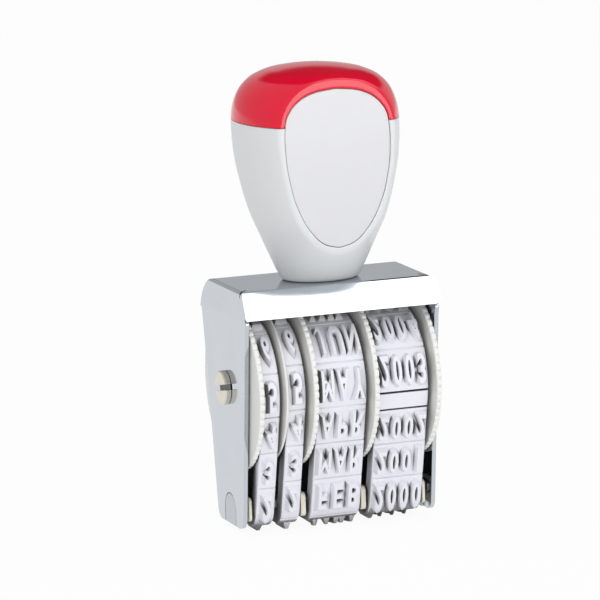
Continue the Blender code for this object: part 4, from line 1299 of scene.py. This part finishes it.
def build_room():
    """The world: white to the camera, softer from behind, and a studio in the reflections."""
    world = bpy.data.worlds.new("studio")
    bpy.context.scene.world = world
    world.use_nodes = True
    tree = world.node_tree
    tree.nodes.clear()
    way = add(tree, "TexCoord").outputs["Generated"]
    parts = add(tree, "SeparateXYZ", {"Vector": way})
    front = add(tree, "MapRange", {
        "Value": parts.outputs["Y"], "From Min": -0.2, "From Max": 1.0,
        "To Min": FRONT_LIGHT, "To Max": REAR_LIGHT})
    soft = add(tree, "Background", {"Color": (0.96, 0.98, 1.0, 1), "Strength": front})
    # The pale walls end in a dark ceiling, lower behind and on the right
    slant = add(tree, "VectorMath", {0: way, 1: (0.5, 0.8, 1.0)}, operation="DOT_PRODUCT")
    walls = add(tree, "MapRange", {
        "Value": slant.outputs["Value"], "From Min": 1.12, "From Max": 1.20,
        "To Min": WALL_LIGHT, "To Max": CEILING_LIGHT}, interpolation_type="SMOOTHSTEP")
    # The wall behind is a little darker than the others
    behind = add(tree, "MapRange", {
        "Value": parts.outputs["Y"], "From Min": 0.3, "From Max": 0.9, "To Min": 1.0, "To Max": 0.83})
    shaded = add(tree, "Math", {0: walls, 1: behind}, operation="MULTIPLY")
    aim = tuple(Vector(WIDE_AIM).normalized())
    lamp = add(tree, "VectorMath", {0: way, 1: aim}, operation="DOT_PRODUCT")
    wide = add(tree, "MapRange", {
        "Value": lamp.outputs["Value"], "From Min": 0.89, "From Max": 0.94,
        "To Min": 0.0, "To Max": WIDE_LIGHT}, interpolation_type="SMOOTHSTEP")
    room = add(tree, "Math", {0: shaded, 1: wide}, operation="ADD")
    gloss = add(tree, "Background", {"Color": (0.97, 0.98, 1.0, 1), "Strength": room})
    white = add(tree, "Background", {"Color": (1, 1, 1, 1), "Strength": 1.0})
    path = add(tree, "LightPath")
    # The metal's light on the pieces beside it comes from the soft room
    direct = add(tree, "Math", {0: path.outputs["Diffuse Depth"], 1: 0.5}, operation="LESS_THAN")
    shiny = add(tree, "Math", {0: path.outputs["Is Glossy Ray"], 1: direct}, operation="MULTIPLY")
    lit = add(tree, "MixShader", {0: shiny, 1: soft, 2: gloss})
    seen = add(tree, "Math", {
        0: path.outputs["Is Camera Ray"], 1: path.outputs["Is Transmission Ray"]}, operation="MAXIMUM")
    whole = add(tree, "MixShader", {0: seen, 1: lit, 2: white})
    add(tree, "OutputWorld", {"Surface": whole})


# Name, place, width and power of each lamp, and whether gloss shows it
LAMPS = (
    ("key", (-0.50, -0.45, 0.60), 0.45, 0.8, False),
    ("front", (0.30, -0.85, 0.10), 0.50, 2.0, True),
    ("top", (0.10, 0.05, 0.80), 0.50, 0.6, False),
    ("fill", (-0.33, -0.85, 0.16), 0.30, 1.1, False),
)


def build_lamps():
    """Round area lamps aimed at the axle."""
    for name, place, width, power, shows in LAMPS:
        light = bpy.data.lights.new(name, "AREA")
        light.shape = "DISK"
        light.size = width
        light.energy = power
        lamp = bpy.data.objects.new(name, light)
        bpy.context.scene.collection.objects.link(lamp)
        lamp.location = place
        lamp.visible_glossy = shows
        aim = Vector((0, 0, AXLE_Z)) - Vector(place)
        lamp.rotation_euler = aim.to_track_quat("-Z", "Y").to_euler()


# The photograph's camera, fitted to the frame's corners, the axle head and the wheel rims
CAMERA_TURN = math.radians(19.57)
CAMERA_TILT = math.radians(10.99)
CAMERA_ROLL = math.radians(1.90)
CAMERA_DISTANCE = 880 * MM
PIXELS_PER_MM = 6.0
IMAGE_SIZE = 600
AXLE_PIXEL = (322.49, 377.47)


def build_camera():
    """A camera aimed so that the middle of the axle falls on its pixel of the photograph."""
    turn, tilt, roll = CAMERA_TURN, CAMERA_TILT, CAMERA_ROLL
    right = Vector((math.cos(turn), -math.sin(turn), 0))
    ahead = Vector((math.sin(turn) * math.cos(tilt), math.cos(turn) * math.cos(tilt), -math.sin(tilt)))
    up = right.cross(ahead)
    image_right = right * math.cos(roll) - up * math.sin(roll)
    image_up = right * math.sin(roll) + up * math.cos(roll)
    axle = Vector((0, 0, AXLE_Z))
    place = axle - ahead * CAMERA_DISTANCE
    middle = IMAGE_SIZE / 2
    aim = axle + image_right * ((middle - AXLE_PIXEL[0]) / PIXELS_PER_MM * MM)
    aim += image_up * ((AXLE_PIXEL[1] - middle) / PIXELS_PER_MM * MM)
    look = (aim - place).normalized()
    side = look.cross(image_up).normalized()
    top = side.cross(look)
    data = bpy.data.cameras.new("camera")
    data.sensor_width = 36
    data.lens = data.sensor_width * PIXELS_PER_MM * CAMERA_DISTANCE / MM / IMAGE_SIZE
    data.clip_end = 20
    camera = bpy.data.objects.new("camera", data)
    bpy.context.scene.collection.objects.link(camera)
    basis = Matrix((side, top, -look)).transposed().to_4x4()
    camera.matrix_world = Matrix.Translation(place) @ basis
    bpy.context.scene.camera = camera


# Operators


class STAMP_OT_frame(bpy.types.Operator):
    """Build the folded sheet frame"""
    bl_idname = "stamp.frame"
    bl_label = "Sheet frame"

    def execute(self, context):
        build_frame(nickel_sheet())
        return {"FINISHED"}


class STAMP_OT_axle(bpy.types.Operator):
    """Build the axle with its slotted head, and its nut"""
    bl_idname = "stamp.axle"
    bl_label = "Axle and nut"

    def execute(self, context):
        steel = turned_steel()
        slotted_head("axle_turned", -1, "axle", steel)
        slotted_head("axle_nut_turned", 1, "axle_nut", steel)
        return {"FINISHED"}


class STAMP_OT_wheels(bpy.types.Operator):
    """Build the four toothed thumb wheels"""
    bl_idname = "stamp.wheels"
    bl_label = "Thumb wheels"

    def execute(self, context):
        plastic = wheel_acetal()
        for number in (1, 2, 3, 4):
            build_wheel(number, plastic)
        return {"FINISHED"}


class STAMP_OT_bands(bpy.types.Operator):
    """Build the four rubber bands with their characters"""
    bl_idname = "stamp.bands"
    bl_label = "Rubber bands"

    def execute(self, context):
        rubber = band_rubber()
        for name, words, phase in BANDS:
            build_band(name, words, phase, rubber)
        return {"FINISHED"}


class STAMP_OT_platen(bpy.types.Operator):
    """Build the platen bar and the guides on it"""
    bl_idname = "stamp.platen"
    bl_label = "Platen and guides"

    def execute(self, context):
        build_platen(zinc_steel())
        build_spine(black_steel())
        build_guides(guide_nylon())
        return {"FINISHED"}


class STAMP_OT_handle(bpy.types.Operator):
    """Build the handle's body and cap"""
    bl_idname = "stamp.handle"
    bl_label = "Handle"

    def execute(self, context):
        gap = handle().joint / 2
        build_handle_part(
            "handle_cap_moulding", cap_angles(), gap, "handle_cap", cap_plastic(), "red_plastic")
        build_handle_part(
            "handle_body_moulding", body_angles(), -gap, "handle_shell", body_plastic(), "white_plastic")
        return {"FINISHED"}


class STAMP_OT_face_plates(bpy.types.Operator):
    """Build the front and rear face plates"""
    bl_idname = "stamp.face_plates"
    bl_label = "Face plates"

    def execute(self, context):
        plastic = plate_plastic()
        build_face_plate("face_plate_front_moulding", -1, "face_plate_front", plastic)
        build_face_plate("face_plate_rear_moulding", 1, "face_plate_rear", plastic)
        return {"FINISHED"}


class STAMP_OT_fastening(bpy.types.Operator):
    """Finish the screw, washer and insert that hold the handle"""
    bl_idname = "stamp.fastening"
    bl_label = "Handle fastening"

    def execute(self, context):
        steel, brass = zinc_steel(), turned_brass()
        for node, material in (("handle_screw", steel), ("handle_washer", steel), ("handle_insert", brass)):
            piece = frame["nodes"][node]
            piece.data.materials.clear()
            piece.data.materials.append(material)
        return {"FINISHED"}


class STAMP_OT_stage(bpy.types.Operator):
    """Build the floor, the light and the camera"""
    bl_idname = "stamp.stage"
    bl_label = "Stage"

    def execute(self, context):
        context.scene.view_settings.view_transform = "Standard"
        build_floor()
        build_room()
        build_lamps()
        build_camera()
        return {"FINISHED"}


STEPS = (
    STAMP_OT_frame, STAMP_OT_axle, STAMP_OT_wheels, STAMP_OT_bands, STAMP_OT_platen,
    STAMP_OT_handle, STAMP_OT_face_plates, STAMP_OT_fastening, STAMP_OT_stage)
# The name of each group of properties in the scene
GROUPS = (
    ("stamp_bands", StampBandSizes), ("stamp_wheels", StampWheelSizes), ("stamp_frame", StampFrameSizes),
    ("stamp_handle", StampHandleSizes), ("stamp_colours", StampColours))


class STAMP_PT_panel(bpy.types.Panel):
    """Sizes, colours and steps of the date stamp"""
    bl_label = "Date stamp"
    bl_idname = "STAMP_PT_panel"
    bl_space_type = "VIEW_3D"
    bl_region_type = "UI"
    bl_category = "Date stamp"

    def draw(self, context):
        for name, group in GROUPS:
            box = self.layout.box()
            for key in group.__annotations__:
                box.prop(getattr(context.scene, name), key)
        for step in STEPS:
            self.layout.operator(step.bl_idname)


def register():
    for name, group in GROUPS:
        bpy.utils.register_class(group)
        setattr(bpy.types.Scene, name, PointerProperty(type=group))
    for made in (*STEPS, STAMP_PT_panel):
        bpy.utils.register_class(made)


def unregister():
    for made in (STAMP_PT_panel, *reversed(STEPS)):
        bpy.utils.unregister_class(made)
    for name, group in reversed(GROUPS):
        delattr(bpy.types.Scene, name)
        bpy.utils.unregister_class(group)


def main():
    register()
    bpy.ops.stamp.frame()
    bpy.ops.stamp.axle()
    bpy.ops.stamp.wheels()
    bpy.ops.stamp.bands()
    bpy.ops.stamp.platen()
    bpy.ops.stamp.handle()
    bpy.ops.stamp.face_plates()
    bpy.ops.stamp.fastening()
    bpy.ops.stamp.stage()


if __name__ == "__main__":
    main()
